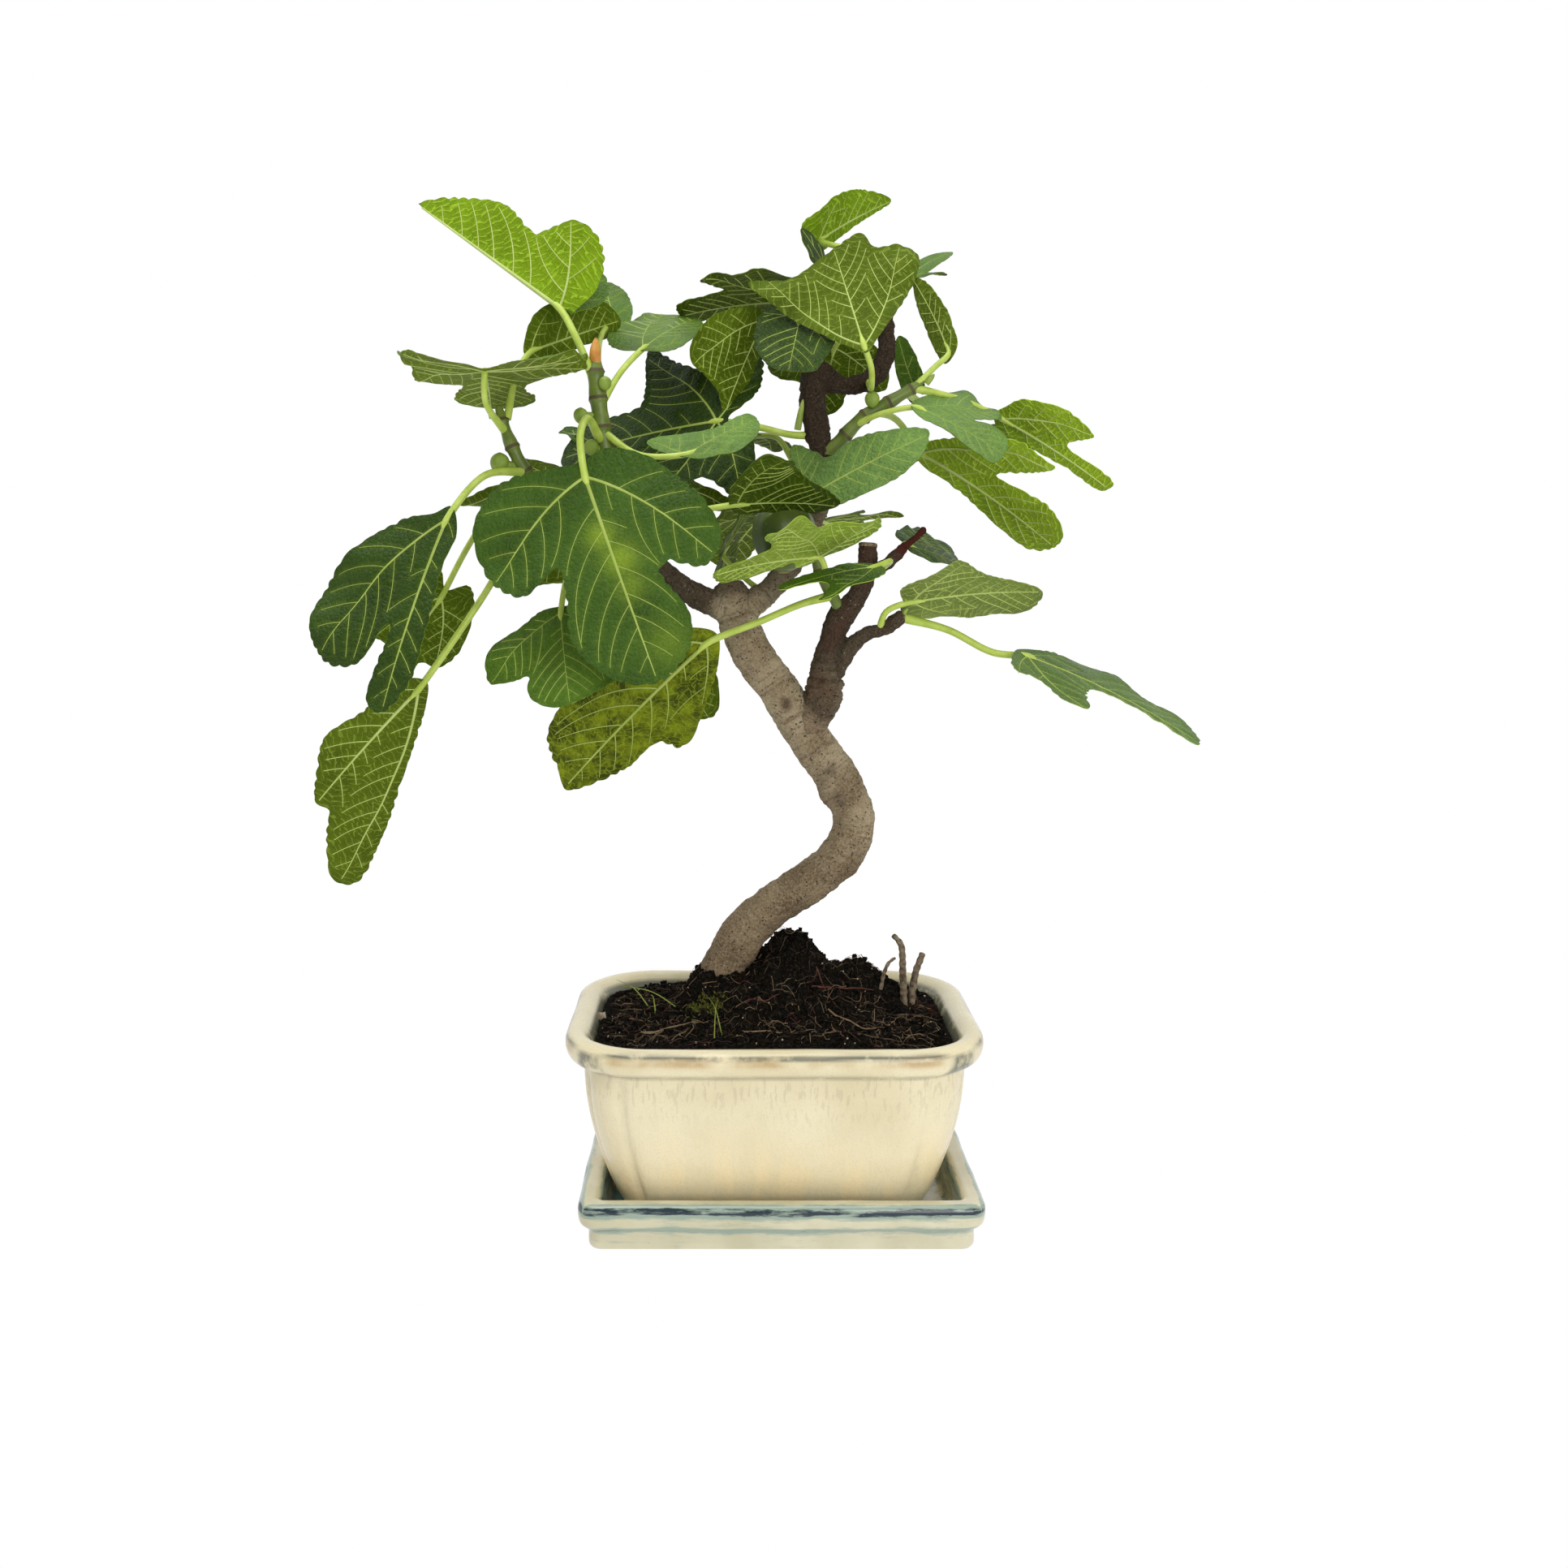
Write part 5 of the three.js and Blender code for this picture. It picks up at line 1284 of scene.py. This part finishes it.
def limb_samples(limbs):
    """Rows of centre, radius, way along and limb number for the whole wood."""
    rows = []
    for number, limb in enumerate(limbs.values()):
        centres, radii = limb_line(*limb, 1.0)
        rows.append(np.column_stack([centres, radii, np.arange(len(radii)), np.full(len(radii), number)]))
    return np.vstack(rows)


def wood():
    """Trunk and boughs grown together, with the bark's relief."""
    limbs = {"trunk": TRUNK, **BOUGHS}
    grown = grown_wood(limbs)
    count = len(grown.vertices)
    points = np.zeros(count * 3)
    normals = np.zeros(count * 3)
    grown.vertices.foreach_get("co", points)
    grown.vertex_normals.foreach_get("vector", normals)
    points = points.reshape(-1, 3) / MM
    normals = normals.reshape(-1, 3)
    samples = limb_samples(limbs)
    best = np.full(count, 1e9)
    row = np.zeros(count, int)
    for k, sample in enumerate(samples):
        gap = np.linalg.norm(points - sample[:3], axis=1) - sample[3]
        closer = gap < best
        best[closer] = gap[closer]
        row[closer] = k
    # Each point takes its place along, and its limb, from the sample whose bark it is nearest to
    near = samples[row]
    along = near[:, 4]
    number = near[:, 5].astype(int)
    on = {name: number == k for k, name in enumerate(limbs)}
    tones, coarse = np.array([LIMB_SHADES[name] for name in limbs])[number].T
    lumps = field(points, 13, 1)
    small = field(points, 4.2, 2)
    around = unit(points - near[:, :3]) * 2.2
    wrinkles = field(
        np.column_stack([along / 1.7 + 40 * number, around[:, 0] + around[:, 1], around[:, 2]]), 1.0, 3)
    grit = field(points, 1.7, 4)
    relief = lumps + 0.7 * small + 0.2 * np.abs(wrinkles) + 0.35 * grit
    relief += coarse * (0.75 * field(points, 5, 5) + 0.35 * grit)
    # The right bough has a paler, ringed collar near its foot
    collar = on["right_bough"] * hump(along - 24, 12)
    relief += collar * (1.6 * np.abs(np.sin(along / 1.55)) + 1.2 * small + 0.5)
    # Boughs darken away from the fork, the trunk towards it and at its foot
    from_trunk = np.any([on[name] for name in FORKS], axis=0)
    shades = tones * np.where(from_trunk, soft_step(along + 5 * lumps + 3 * small, 4, 15), 1)
    trunk_top = on["trunk"] * soft_step(points[:, 2] + 6 * lumps, 312, 322) * 0.7
    shades = np.maximum(shades, trunk_top) * (1 - 0.35 * collar)
    shades = np.maximum(shades, 0.35 * on["trunk"] * (1 - soft_step(points[:, 2] + 8 * small, 116, 128)))
    # Painted shade: the trunk's faces that look down and to the right take the scar colour
    scars = 0.25 * on["trunk"] * soft_step(-normals[:, 2] + normals[:, 0] + 0.7 * small, 0.9, 1.7)
    for place, reach, height, dark in BARK_MARKS:
        gap = np.linalg.norm(points - place, axis=1) + 2.2 * small
        here = hump(gap, reach)
        relief += height * here
        scars = np.maximum(scars, dark * here)
    # The twig's young wood is reddish, and so are patches of its bough
    red = on["right_twig"] * soft_step(along, 14, 24)
    red = np.maximum(red, 0.3 * on["right_bough"] * soft_step(field(points, 12, 7), -0.1, 0.5))
    # Relief is held back at the trunk's foot, so that it stays flat
    foot = points[:, 2] < TRUNK_FOOT + 1
    relief = np.where(foot, np.minimum(relief, 0.3), relief)
    points = points + normals * relief[:, None]
    grown.vertices.foreach_set("co", (points * MM).ravel())
    grown.materials.clear()
    grown.materials.append(bark_look())
    values = {"along": along, "shade": shades, "scar_and_shade": scars, "red": red}
    finish_piece("wood_bark", grown, list(limbs), values, 80)


def pruned_ends():
    """Weathered discs where limbs were cut back."""
    heap = Heap()
    for name in ("right_bough", "side_bough"):
        points, radii = BOUGHS[name]
        end = np.array(points[-1], float)
        way = unit(end - points[-2])
        disc = end + way * np.array([-1.5, -0.3, 0.25, 0.45, 0.1])[:, None]
        tube(heap, disc, radii[-1] * np.array([0.96, 1.0, 0.93, 0.8, 0.55]), 24)
    make_piece("pruned_ends", heap, [cut_look()])


def stubs():
    """Two dead stubs and a bent twig that stand in the peat."""
    heap = Heap()
    for number, stub in enumerate([*STUBS.values(), BENT_TWIG]):
        centres, radii = limb_line(*stub, 0.8)
        a = circle(16)
        t = np.arange(len(centres))[:, None]
        swell = 0.16 * np.sin(t * 1.3 + 2 * a + number) + 0.18 * np.sin(t * 0.45) * np.cos(a * 3 + number)
        tube(heap, centres, radii, 16, 0, swell, dome=0.4)
    look = plain_look("dead_bark", (0.075, 0.052, 0.032), (0.22, 0.17, 0.11), 420, 0.9)
    make_piece("dead_stubs", heap, [look], list(STUBS))


# Points along each corner of a rounded rectangle, and along its short and long sides
ARC_STEPS = 26
STRAIGHT_STEPS = (22, 34)


def rounded_ring(width, depth, corner, z, x=0.0):
    """A rounded rectangle drawn anticlockwise from where its right side meets the far corner."""
    centres = np.array([[1, 1], [-1, 1], [-1, -1], [1, -1]]) * [width / 2 - corner, depth / 2 - corner]
    pieces = []
    for quarter, centre in enumerate(centres):
        a = math.pi / 2 * (quarter + np.arange(ARC_STEPS + 1) / ARC_STEPS)
        arc = centre + corner * np.stack([np.cos(a), np.sin(a)], 1)
        turn = math.pi / 2 * (quarter + 1)
        end = centres[(quarter + 1) % 4] + corner * facing(turn)
        steps = STRAIGHT_STEPS[(quarter + 1) % 2]
        pieces += [arc, arc[-1] + (end - arc[-1]) * (np.arange(1, steps)[:, None] / steps)]
    flat = np.vstack(pieces)
    return np.column_stack([flat[:, 0] + x, flat[:, 1], np.full(len(flat), z)])


def lerp(a, b, t):
    return a + (b - a) * t


def pot_ring(share, inset, z):
    """The pot's wall at a share of the way from foot to lip: a bellied taper."""
    swell = math.sin(math.pi / 2 * share) ** 0.8
    width = lerp(POT["foot_width"], POT["width"] - 2 * WALL_INSET, swell) - 2 * inset
    depth = lerp(POT["foot_depth"], POT["depth"] - 2 * WALL_INSET, swell) - 2 * inset
    corner = lerp(POT["foot_corner"], POT["corner"] - WALL_INSET, swell) - inset
    return rounded_ring(width, depth, corner, z, POT["x"])


def lip_ring(inset, z):
    return rounded_ring(
        POT["width"] - 2 * inset, POT["depth"] - 2 * inset, POT["corner"] - inset, z, POT["x"])


def pushed(ring, out, up=0.0, x=0.0):
    """A ring moved out from the middle at x, and up."""
    away = unit((ring - [x, 0, 0]) * [1, 1, 0])
    return ring + away * np.asarray(out)[:, None] + [0, 0, 1] * np.broadcast_to(up, len(ring))[:, None]


def corner_columns():
    """For each point of a ring, how far the wall is drawn in beside each corner column, or stands out."""
    share = []
    for quarter in range(4):
        straight = STRAIGHT_STEPS[(quarter + 1) % 2]
        share += [*(np.arange(ARC_STEPS + 1) / ARC_STEPS), *([-1.0] * (straight - 1))]
    share = np.array(share)
    grooves = hump(share - 0.26, 0.05) + hump(share - 0.74, 0.05)
    return 0.9 * hump(share - 0.5, 0.16) - 1.7 * grooves


def pot():
    """The pot from its foot up the wall, over the rolled rim and down inside, and its glaze lines."""
    x = POT["x"]
    rim = POT["rim"]
    columns = corner_columns()
    rings = []
    for share in np.concatenate([[0, 0.012, 0.03], np.linspace(0.06, 1, 26)]):
        foot = 1.6 * max(0.0, 1 - share / 0.03)
        ring = pot_ring(share, foot, lerp(POT_FOOT, LIP_FOOT, share))
        fade = soft_step(share, 0.02, 0.2) * (1 - 0.6 * soft_step(share, 0.85, 1))
        rings.append(pushed(ring, (columns + 0.5 * field(ring, 34, 8)) * fade, x=x))
    turns = [
        (8.2, LIP_FOOT + 0.4), (3.4, LIP_FOOT + 0.9), (1.0, LIP_FOOT + 3.6), (0, LIP_FOOT + 8),
        (0.8, rim - 2.2), (4, rim), (8.6, rim - 0.5), (11.6, rim - 3), (13.6, rim - 6.5), (14.8, rim - 10.5),
    ]
    for inset, z in spline(turns, 1.3)[0]:
        ring = lip_ring(inset, z)
        rings.append(pushed(ring, 0.5 * field(ring, 40, 9), 0.35 * field(ring, 30, 10), x))
    for share in np.linspace(0.86, 0.1, 8):
        rings.append(pot_ring(share, POT["wall"], lerp(POT_FOOT, LIP_FOOT, share)))
    rings.append(pot_ring(0.1, POT["wall"], POT_FOOT + POT["floor"]))
    heap = Heap()
    heap.grid(np.array(rings))
    points = np.vstack(heap.points)
    edge = np.abs(points[:, :2] - [x, 0])
    out = (edge / [POT["width"] / 2, POT["depth"] / 2]).max(1)
    z = points[:, 2]
    drawn = field(points, 26, 12)
    upper_line = hump(z - rim + 2.4 + 0.8 * drawn, 1.2) * soft_step(out, 0.9, 0.97)
    lower_line = hump(z - LIP_FOOT - 1.2, 0.9) * soft_step(out, 0.9, 0.97)
    inner = soft_step(rim - z, 2, 4.5) * (1 - soft_step(out, 0.9, 0.93))
    inner = inner * soft_step(z, LIP_FOOT - 2, LIP_FOOT + 1)
    lip = np.clip(1.15 * upper_line + 0.4 * lower_line + 0.9 * inner, 0, 1)
    rust = hump(z - rim + 5.2, 2.2) * soft_step(out, 0.92, 0.98)
    hole = np.linalg.norm(points - PINHOLE, axis=1)
    # The pinhole's stain, and painted shade: a thin dark line round the foot, where the pot stands in the
    # saucer
    stain_and_foot_shade = np.maximum(hump(hole, 1.1), 0.75 * hump(z - POT_FOOT, 0.9))
    stain_and_foot_shade = np.where(z > LIP_FOOT - 2, 0, stain_and_foot_shade)
    lines = {"lip": lip, "rust": rust, "stain_and_foot_shade": stain_and_foot_shade}
    make_piece("glazed_pot", heap, [pot_look()], ["pot"], lines, 60)


def saucer():
    """The saucer from its underside up the foot, waist and lip and down into the tray."""
    width, depth, corner = SAUCER["width"], SAUCER["depth"], SAUCER["corner"]
    height, lip, foot, floor = SAUCER["height"], SAUCER["lip"], SAUCER["foot_inset"], SAUCER["floor"]
    turns = [
        (foot + 1.2, 0), (foot, 0.6), (foot - 1, 2.4), (foot - 1.1, WAIST - 2.4), (foot - 1.6, WAIST - 0.6),
        (2.2, WAIST + 1.2), (0.6, WAIST + 3.2), (0, height - 5.5), (0.5, height - 2), (2.6, height - 0.1),
        (5.5, height - 0.3), (lip - 2, height - 0.6), (lip, height - 2.4), (lip + 1.8, floor + 4),
        (lip + 3.4, floor + 1), (lip + 7, floor), (lip + 26, floor), (lip + 44, floor),
    ]
    rings = []
    for inset, z in spline(turns, 1.25)[0]:
        ring = rounded_ring(width - 2 * inset, depth - 2 * inset, max(corner - 0.6 * inset, 3), z)
        wavy = 0.45 * field(ring, 28, 13) + 0.3 * field(ring, 9, 14)
        dip = np.minimum(0.35 * field(ring * [1, 1, 0], 22, 15), 0.2) * soft_step(z, 3, 10)
        rings.append(pushed(ring, wavy * soft_step(z, 0.5, 3), dip))
    heap = Heap()
    heap.grid(np.array(rings))
    points = np.vstack(heap.points)
    z = points[:, 2]
    gap = np.minimum(width / 2 - np.abs(points[:, 0]), depth / 2 - np.abs(points[:, 1]))
    drawn = field(points, 24, 16)
    outer = 1 - soft_step(gap, 2.6, 4.5)
    edge = 1.1 * hump(z - height + 3.1 + 0.9 * drawn, 3.2) * outer
    edge += 0.75 * hump(z - WAIST - 0.4 + 0.7 * drawn, 2.2) * (1 - soft_step(gap, 7, 9))
    inner = (gap > lip - 1.5) & (z < height - 1.2)
    within = 0.35 * soft_step(z, floor + 0.6, floor + 5) + 0.6 * hump(z - height + 4, 1.6)
    edge = np.clip(edge + np.where(inner, within, 0), 0, 1)
    tray = soft_step(gap, lip + 1, lip + 4) * (z > floor - 1)
    lines = {"edge": edge, "tray": tray}
    make_piece("glazed_saucer", heap, [saucer_look()], ["saucer"], lines, 60)


# Clods that stand out of the peat: place, height and reach
CLODS = [(10, 15, 4, 9), (19, 22, 3, 6), (1, 19, 2.5, 6), (43, 15, 4, 7), (56, 10, 3, 6)]

# How many crumbs, fibres, moss shoots and grains of grit lie on the peat, and the patch of reddish crumbs
CRUMBS, FIBRES, MOSS, GRIT = 2600, 760, 560, 90
RED_PATCH = (80, 8, 11)

# Fibres stay this far within the pot's lip, round corners of the second radius, and climb no more than this
FIBRE_INSET, FIBRE_CORNER, FIBRE_CLIMB = 44, 26, 7

# The moss cushion: its middle, and how widely its shoots are strewn
MOSS_PLACE = (-38.5, -13)
MOSS_SPREAD = (4.8, 4)


def ground(x, y):
    """The peat's height at places across the pot."""
    x = np.atleast_1d(np.asarray(x, float))
    y = np.atleast_1d(np.asarray(y, float))
    z = np.full(len(x), float(SOIL_EDGE))
    for cx, cy, height, span in [*SOIL_HEAPS, *CLODS]:
        z += height * np.exp(-((x - cx) ** 2 + (y - cy) ** 2) / span**2)
    foot = np.hypot(x - TRUNK[0][0][0], y - TRUNK[0][0][1])
    z = np.maximum(z, TRUNK_FOOT + 2.5 - 1.2 * np.maximum(foot - 15, 0))
    flat = np.column_stack([x, y, np.zeros(len(x))])
    steep = np.clip((z - SOIL_EDGE) / 12, 0.35, 1)
    clods = 3.8 * field(flat, 12, 20) + 3.0 * field(flat, 5.0, 21)
    return z + steep * clods + 1.3 * field(flat, 2.2, 22)


def scatter(rng, count):
    """Places across the peat, inside the pot's mouth."""
    half = np.array([POT["width"] / 2 - SOIL_INSET - 2, POT["depth"] / 2 - SOIL_INSET - 2])
    corner = POT["corner"] - SOIL_INSET
    kept = []
    while len(kept) < count:
        x, y = rng.uniform(-half, half)
        over = np.maximum(np.abs([x, y]) - (half - corner), 0)
        if np.hypot(*over) < corner:
            kept.append((x + POT["x"], y))
    return np.array(kept)


def crumb(heap, rng, x, y, lift, size, slot=0):
    """One uneven crumb on the peat: a box whose eight corners are pushed about."""
    corners = np.array([[i, j, k] for i in (-1, 1) for j in (-1, 1) for k in (-1, 1)], float)
    corners = corners * rng.uniform(0.45, 1.0, (8, 3)) * size
    spin = rng.uniform(0, 2 * math.pi)
    turn = np.array([[math.cos(spin), -math.sin(spin), 0], [math.sin(spin), math.cos(spin), 0], [0, 0, 1]])
    quads = np.array([[0, 1, 3, 2], [4, 6, 7, 5], [0, 4, 5, 1], [2, 3, 7, 6], [0, 2, 6, 4], [1, 5, 7, 3]])
    heap.add(corners @ turn.T + [x, y, ground(x, y)[0] + lift], quads, slot)


def soil():
    """Peat with its clods, crumbs, fibres and roots, and what grows on it."""
    looks = [
        soil_look("peat", (0.0048, 0.004, 0.003), (0.07, 0.058, 0.042)),
        soil_look("peat_brown", (0.011, 0.007, 0.004), (0.06, 0.038, 0.021)),
        soil_look("peat_red", (0.03, 0.012, 0.008), (0.09, 0.034, 0.02)),
    ]
    outer = lip_ring(SOIL_INSET, 0)
    rings = [outer + [0, 0, SOIL_BOTTOM]]
    for share in np.linspace(1, 0.012, 96):
        flat = (outer - [POT["x"], 0, 0]) * share + [POT["x"], 0, 0]
        flat[:, 2] = ground(flat[:, 0], flat[:, 1])
        if share == 1:
            flat[:, 2] = np.minimum(flat[:, 2], SOIL_EDGE + 0.5)
        rings.append(flat)
    heap = Heap()
    heap.grid(np.array(rings))
    make_piece("peat_soil", heap, looks[:1], ["soil"], sharp=80)
    rng = np.random.default_rng(SEED)
    crumbs = Heap()
    for x, y in scatter(rng, CRUMBS):
        size = 0.45 + 1.3 * rng.random() ** 2.5
        slot = 0 if rng.random() < 0.72 else 1
        if np.hypot(x - RED_PATCH[0], y - RED_PATCH[1]) < RED_PATCH[2] and rng.random() < 0.7:
            slot = 2
        crumb(crumbs, rng, x, y, 0.35 * size, size, slot)
    make_piece("peat_crumbs", crumbs, looks)
    fibres(rng)
    growth(rng)


def ground_line(points, lift):
    """A line laid on the peat through the given places."""
    line = spline([[x, y] for x, y in points], 1.6)[0]
    z = evened(ground(line[:, 0], line[:, 1]))
    return np.column_stack([line, z + lift])


# Roots that show on the peat: places, radius, and which of the root colours
ROOTS = [
    [[(-70, -33.5), (-62, -35), (-52, -31), (-41.5, -28)], 0.7, 2],
    [[(25, -21), (32, -30), (42, -35), (52, -32), (58, -23)], 0.55, 2],
    [[(17, -8), (30, -6), (42, -3), (52, 0)], 0.6, 1],
    [[(-25, -21.5), (-18, -17), (-8, -18), (0, -14)], 0.6, 1],
    [[(20, 2), (24, -8), (29, -18)], 0.45, 1],
    [[(60, -14), (70, -10), (82, -12)], 0.6, 0],
    [[(-60, 8), (-48, 4), (-36, 8)], 0.5, 0],
    [[(-80, -10), (-70, -18), (-66, -28)], 0.4, 2],
    [[(-20, -44), (-8, -48), (6, -45)], 0.5, 2],
    [[(38, -44), (52, -47), (66, -42)], 0.45, 0],
    [[(-5, 40), (12, 46), (30, 42)], 0.5, 2],
    [[(44, 40), (58, 34), (70, 38)], 0.5, 1],
]


def fibres(rng):
    """Fine peat fibres, and the longer roots among them."""
    heap = Heap()
    half = np.array([POT["width"], POT["depth"]]) / 2 - FIBRE_INSET
    for x, y in scatter(rng, FIBRES):
        heading = rng.uniform(0, 2 * math.pi)
        bend = rng.normal(0, 0.28)
        place = np.array([x, y])
        line = [place]
        for _ in range(rng.integers(3, 8)):
            heading += bend + rng.normal(0, 0.2)
            place = place + 2.4 * facing(heading)
            line.append(place)
        line = np.array(line)
        over = np.maximum(np.abs(line - [POT["x"], 0]) - half, 0)
        if (np.hypot(over[:, 0], over[:, 1]) > FIBRE_CORNER).any():
            continue
        t = np.linspace(0, 1, len(line))
        z = ground(line[:, 0], line[:, 1]) + 0.5 + 2.2 * rng.random() ** 3 * np.sin(math.pi * t)
        if np.ptp(z) > FIBRE_CLIMB:
            continue
        size = rng.uniform(0.1, 0.24)
        slot = int(rng.choice([0, 1, 2], p=[0.55, 0.12, 0.33]))
        tube(heap, np.column_stack([line, z]), size * (1 - 0.5 * t), 4, slot)
    for points, radius, slot in ROOTS:
        line = ground_line(points, 0.9)
        tube(heap, line, radius * np.linspace(1, 0.4, len(line)), 7, slot, dome=1)
    make_piece("peat_fibres_and_roots", heap, [
        plain_look("root_brown", (0.035, 0.022, 0.012), (0.10, 0.065, 0.036), 300, 0.85),
        plain_look("root_red", (0.055, 0.016, 0.012), (0.11, 0.035, 0.024), 300, 0.8),
        plain_look("root_tan", (0.14, 0.09, 0.045), (0.26, 0.185, 0.1), 300, 0.8),
    ])


# A pebble's place, and blades of grass: the foot, the tip with its height above the peat, and the radius
PEBBLE = (-93, 0)
GRASS = [
    [(-48, -11.5), (-84, 28, 9), 0.5], [(-66, 0), (-88, 40, 9), 0.4], [(-64, -6), (-67, 4, 7), 0.45],
    [(-33, -50), (-32, -46, 17), 0.4], [(-29, -46), (-36, -20, 7), 0.35],
]


def growth(rng):
    """A cushion of moss, blades of grass, a pebble and pale grit."""
    moss = Heap()
    for _ in range(MOSS):
        x = MOSS_PLACE[0] + rng.normal(0, MOSS_SPREAD[0])
        y = MOSS_PLACE[1] + rng.normal(0, MOSS_SPREAD[1])
        foot = np.array([x, y, ground(x, y)[0] - 0.2])
        lean = rng.normal(0, 0.45, 2)
        tip = foot + np.array([lean[0], lean[1], 1]) * rng.uniform(0.7, 1.8)
        tube(moss, np.array([foot, (foot + tip) / 2, tip]), [0.5, 0.42, 0.08], 5, int(rng.integers(0, 2)))
    make_piece("moss_cushion", moss, [
        plain_look("moss_green", (0.06, 0.064, 0.005), (0.12, 0.12, 0.010), 500, 0.9),
        plain_look("moss_dark", (0.02, 0.026, 0.003), (0.05, 0.058, 0.006), 500, 0.9),
    ])
    grass = Heap()
    for foot, (x, y, rise), radius in GRASS:
        start = np.array([*foot, ground(*foot)[0] - 1])
        end = np.array([x, y, ground(x, y)[0] + rise])
        line = spline([start, (start + end) / 2 + [0, 0, 4], end], 1.5)[0]
        tube(grass, line, radius * np.linspace(1, 0.25, len(line)), 6)
    green = plain_look("grass_green", (0.15, 0.2, 0.02), (0.27, 0.32, 0.05), 200, 0.6)
    make_piece("grass_blades", grass, [green])
    grit = Heap()
    crumb(grit, rng, *PEBBLE, 1.1, 2.0)
    for x, y in scatter(rng, GRIT):
        crumb(grit, rng, x, y, 0.5, rng.uniform(0.25, 0.6))
    pale = plain_look("grit", (0.3, 0.23, 0.14), (0.5, 0.43, 0.32), 300, 0.8)
    make_piece("pale_grit", grit, [pale])


# Buds: tip of the shoot, which way it points, length, radius and colour
BUDS = [
    [(-90.2, -20, 427.5), (0.05, 0, 1), 12.5, 3.3, 0], [(8.5, 3.5, 399), (0.18, -0.05, 1), 15, 1.9, 1],
    [(-140, -22, 402), (-0.25, -0.1, 1), 8, 1.4, 1], [(72, 0, 421), (0.6, -0.2, 0.7), 6, 1.6, 1],
    [(62, -5.5, 308), (0.5, -0.4, 0.7), 3.5, 1.2, 1],
]


def buds():
    """The pointed bud on the left shoot, and the small ones at the nodes."""
    heap = Heap()
    for row in BUDS:
        bud(heap, *row)
    make_piece("shoot_buds", heap, [
        plain_look("bud_orange", (0.42, 0.17, 0.03), (0.55, 0.3, 0.06), 160, 0.45),
        plain_look("bud_green", (0.2, 0.28, 0.04), (0.3, 0.38, 0.08), 200, 0.5),
    ])


def room_light(tree):
    """White behind the tree and dimmer behind the camera."""
    place = tree.nodes.new("ShaderNodeTexCoord")
    split = tree.nodes.new("ShaderNodeSeparateXYZ")
    ramp = tree.nodes.new("ShaderNodeMapRange")
    ramp.inputs["From Min"].default_value = ROOM_TURN[0]
    ramp.inputs["From Max"].default_value = ROOM_TURN[1]
    ramp.inputs["To Min"].default_value = ROOM_DIM
    ramp.inputs["To Max"].default_value = 1.0
    tree.links.new(place.outputs["Generated"], split.inputs[0])
    tree.links.new(split.outputs["Y"], ramp.inputs["Value"])
    tree.links.new(ramp.outputs["Result"], tree.nodes["Background"].inputs["Strength"])
    tree.nodes["Background"].inputs["Color"].default_value = (1, 1, 1, 1)


# Lamps: place, width and watts
LAMPS = {"overhead": [(-350, -250, 1500), 1200, 16], "front_fill": [(600, -1400, 520), 900, 12]}
LAMPS_AIM = (0, 0, 250)
FLOOR_HALF = 4000


def studio():
    """White floor and world, soft light from above and a weak fill, and the camera."""
    mesh = bpy.data.meshes.new("floor")
    corners = np.array([[-1, -1, 0], [1, -1, 0], [1, 1, 0], [-1, 1, 0]]) * FLOOR_HALF * MM
    mesh.from_pydata(corners.tolist(), [], [[0, 1, 2, 3]])
    white = Look("white_floor", (0, 0, 0), roughness=1, specular=0)
    white.shader.inputs["Emission Color"].default_value = (1, 1, 1, 1)
    white.shader.inputs["Emission Strength"].default_value = 1.0
    mesh.materials.append(white.material)
    put("floor", mesh)
    world = bpy.data.worlds.new("white_room")
    world.use_nodes = True
    room_light(world.node_tree)
    bpy.context.scene.world = world
    for name, (place, size, watts) in LAMPS.items():
        lamp = bpy.data.lights.new(name, "AREA")
        lamp.size = size * MM
        lamp.energy = watts
        holder = put(name, lamp)
        holder.location = Vector(place) * MM
        aim = Vector(LAMPS_AIM) - Vector(place)
        holder.rotation_euler = aim.to_track_quat("-Z", "Y").to_euler()
    camera = bpy.data.cameras.new("camera")
    camera.sensor_width = SENSOR
    camera.lens = SENSOR * FOCAL_PIXELS / PICTURE
    camera.shift_x = (PICTURE / 2 - AXIS_PIXEL) / PICTURE
    camera.clip_end = 50
    holder = put("camera", camera)
    holder.location = Vector(EYE) * MM
    holder.rotation_euler = (math.radians(90 - PITCH_DOWN), 0, 0)
    bpy.context.scene.camera = holder
    bpy.context.scene.view_settings.view_transform = "Standard"


saucer()
pot()
soil()
stubs()
wood()
pruned_ends()
foliage()
buds()
studio()
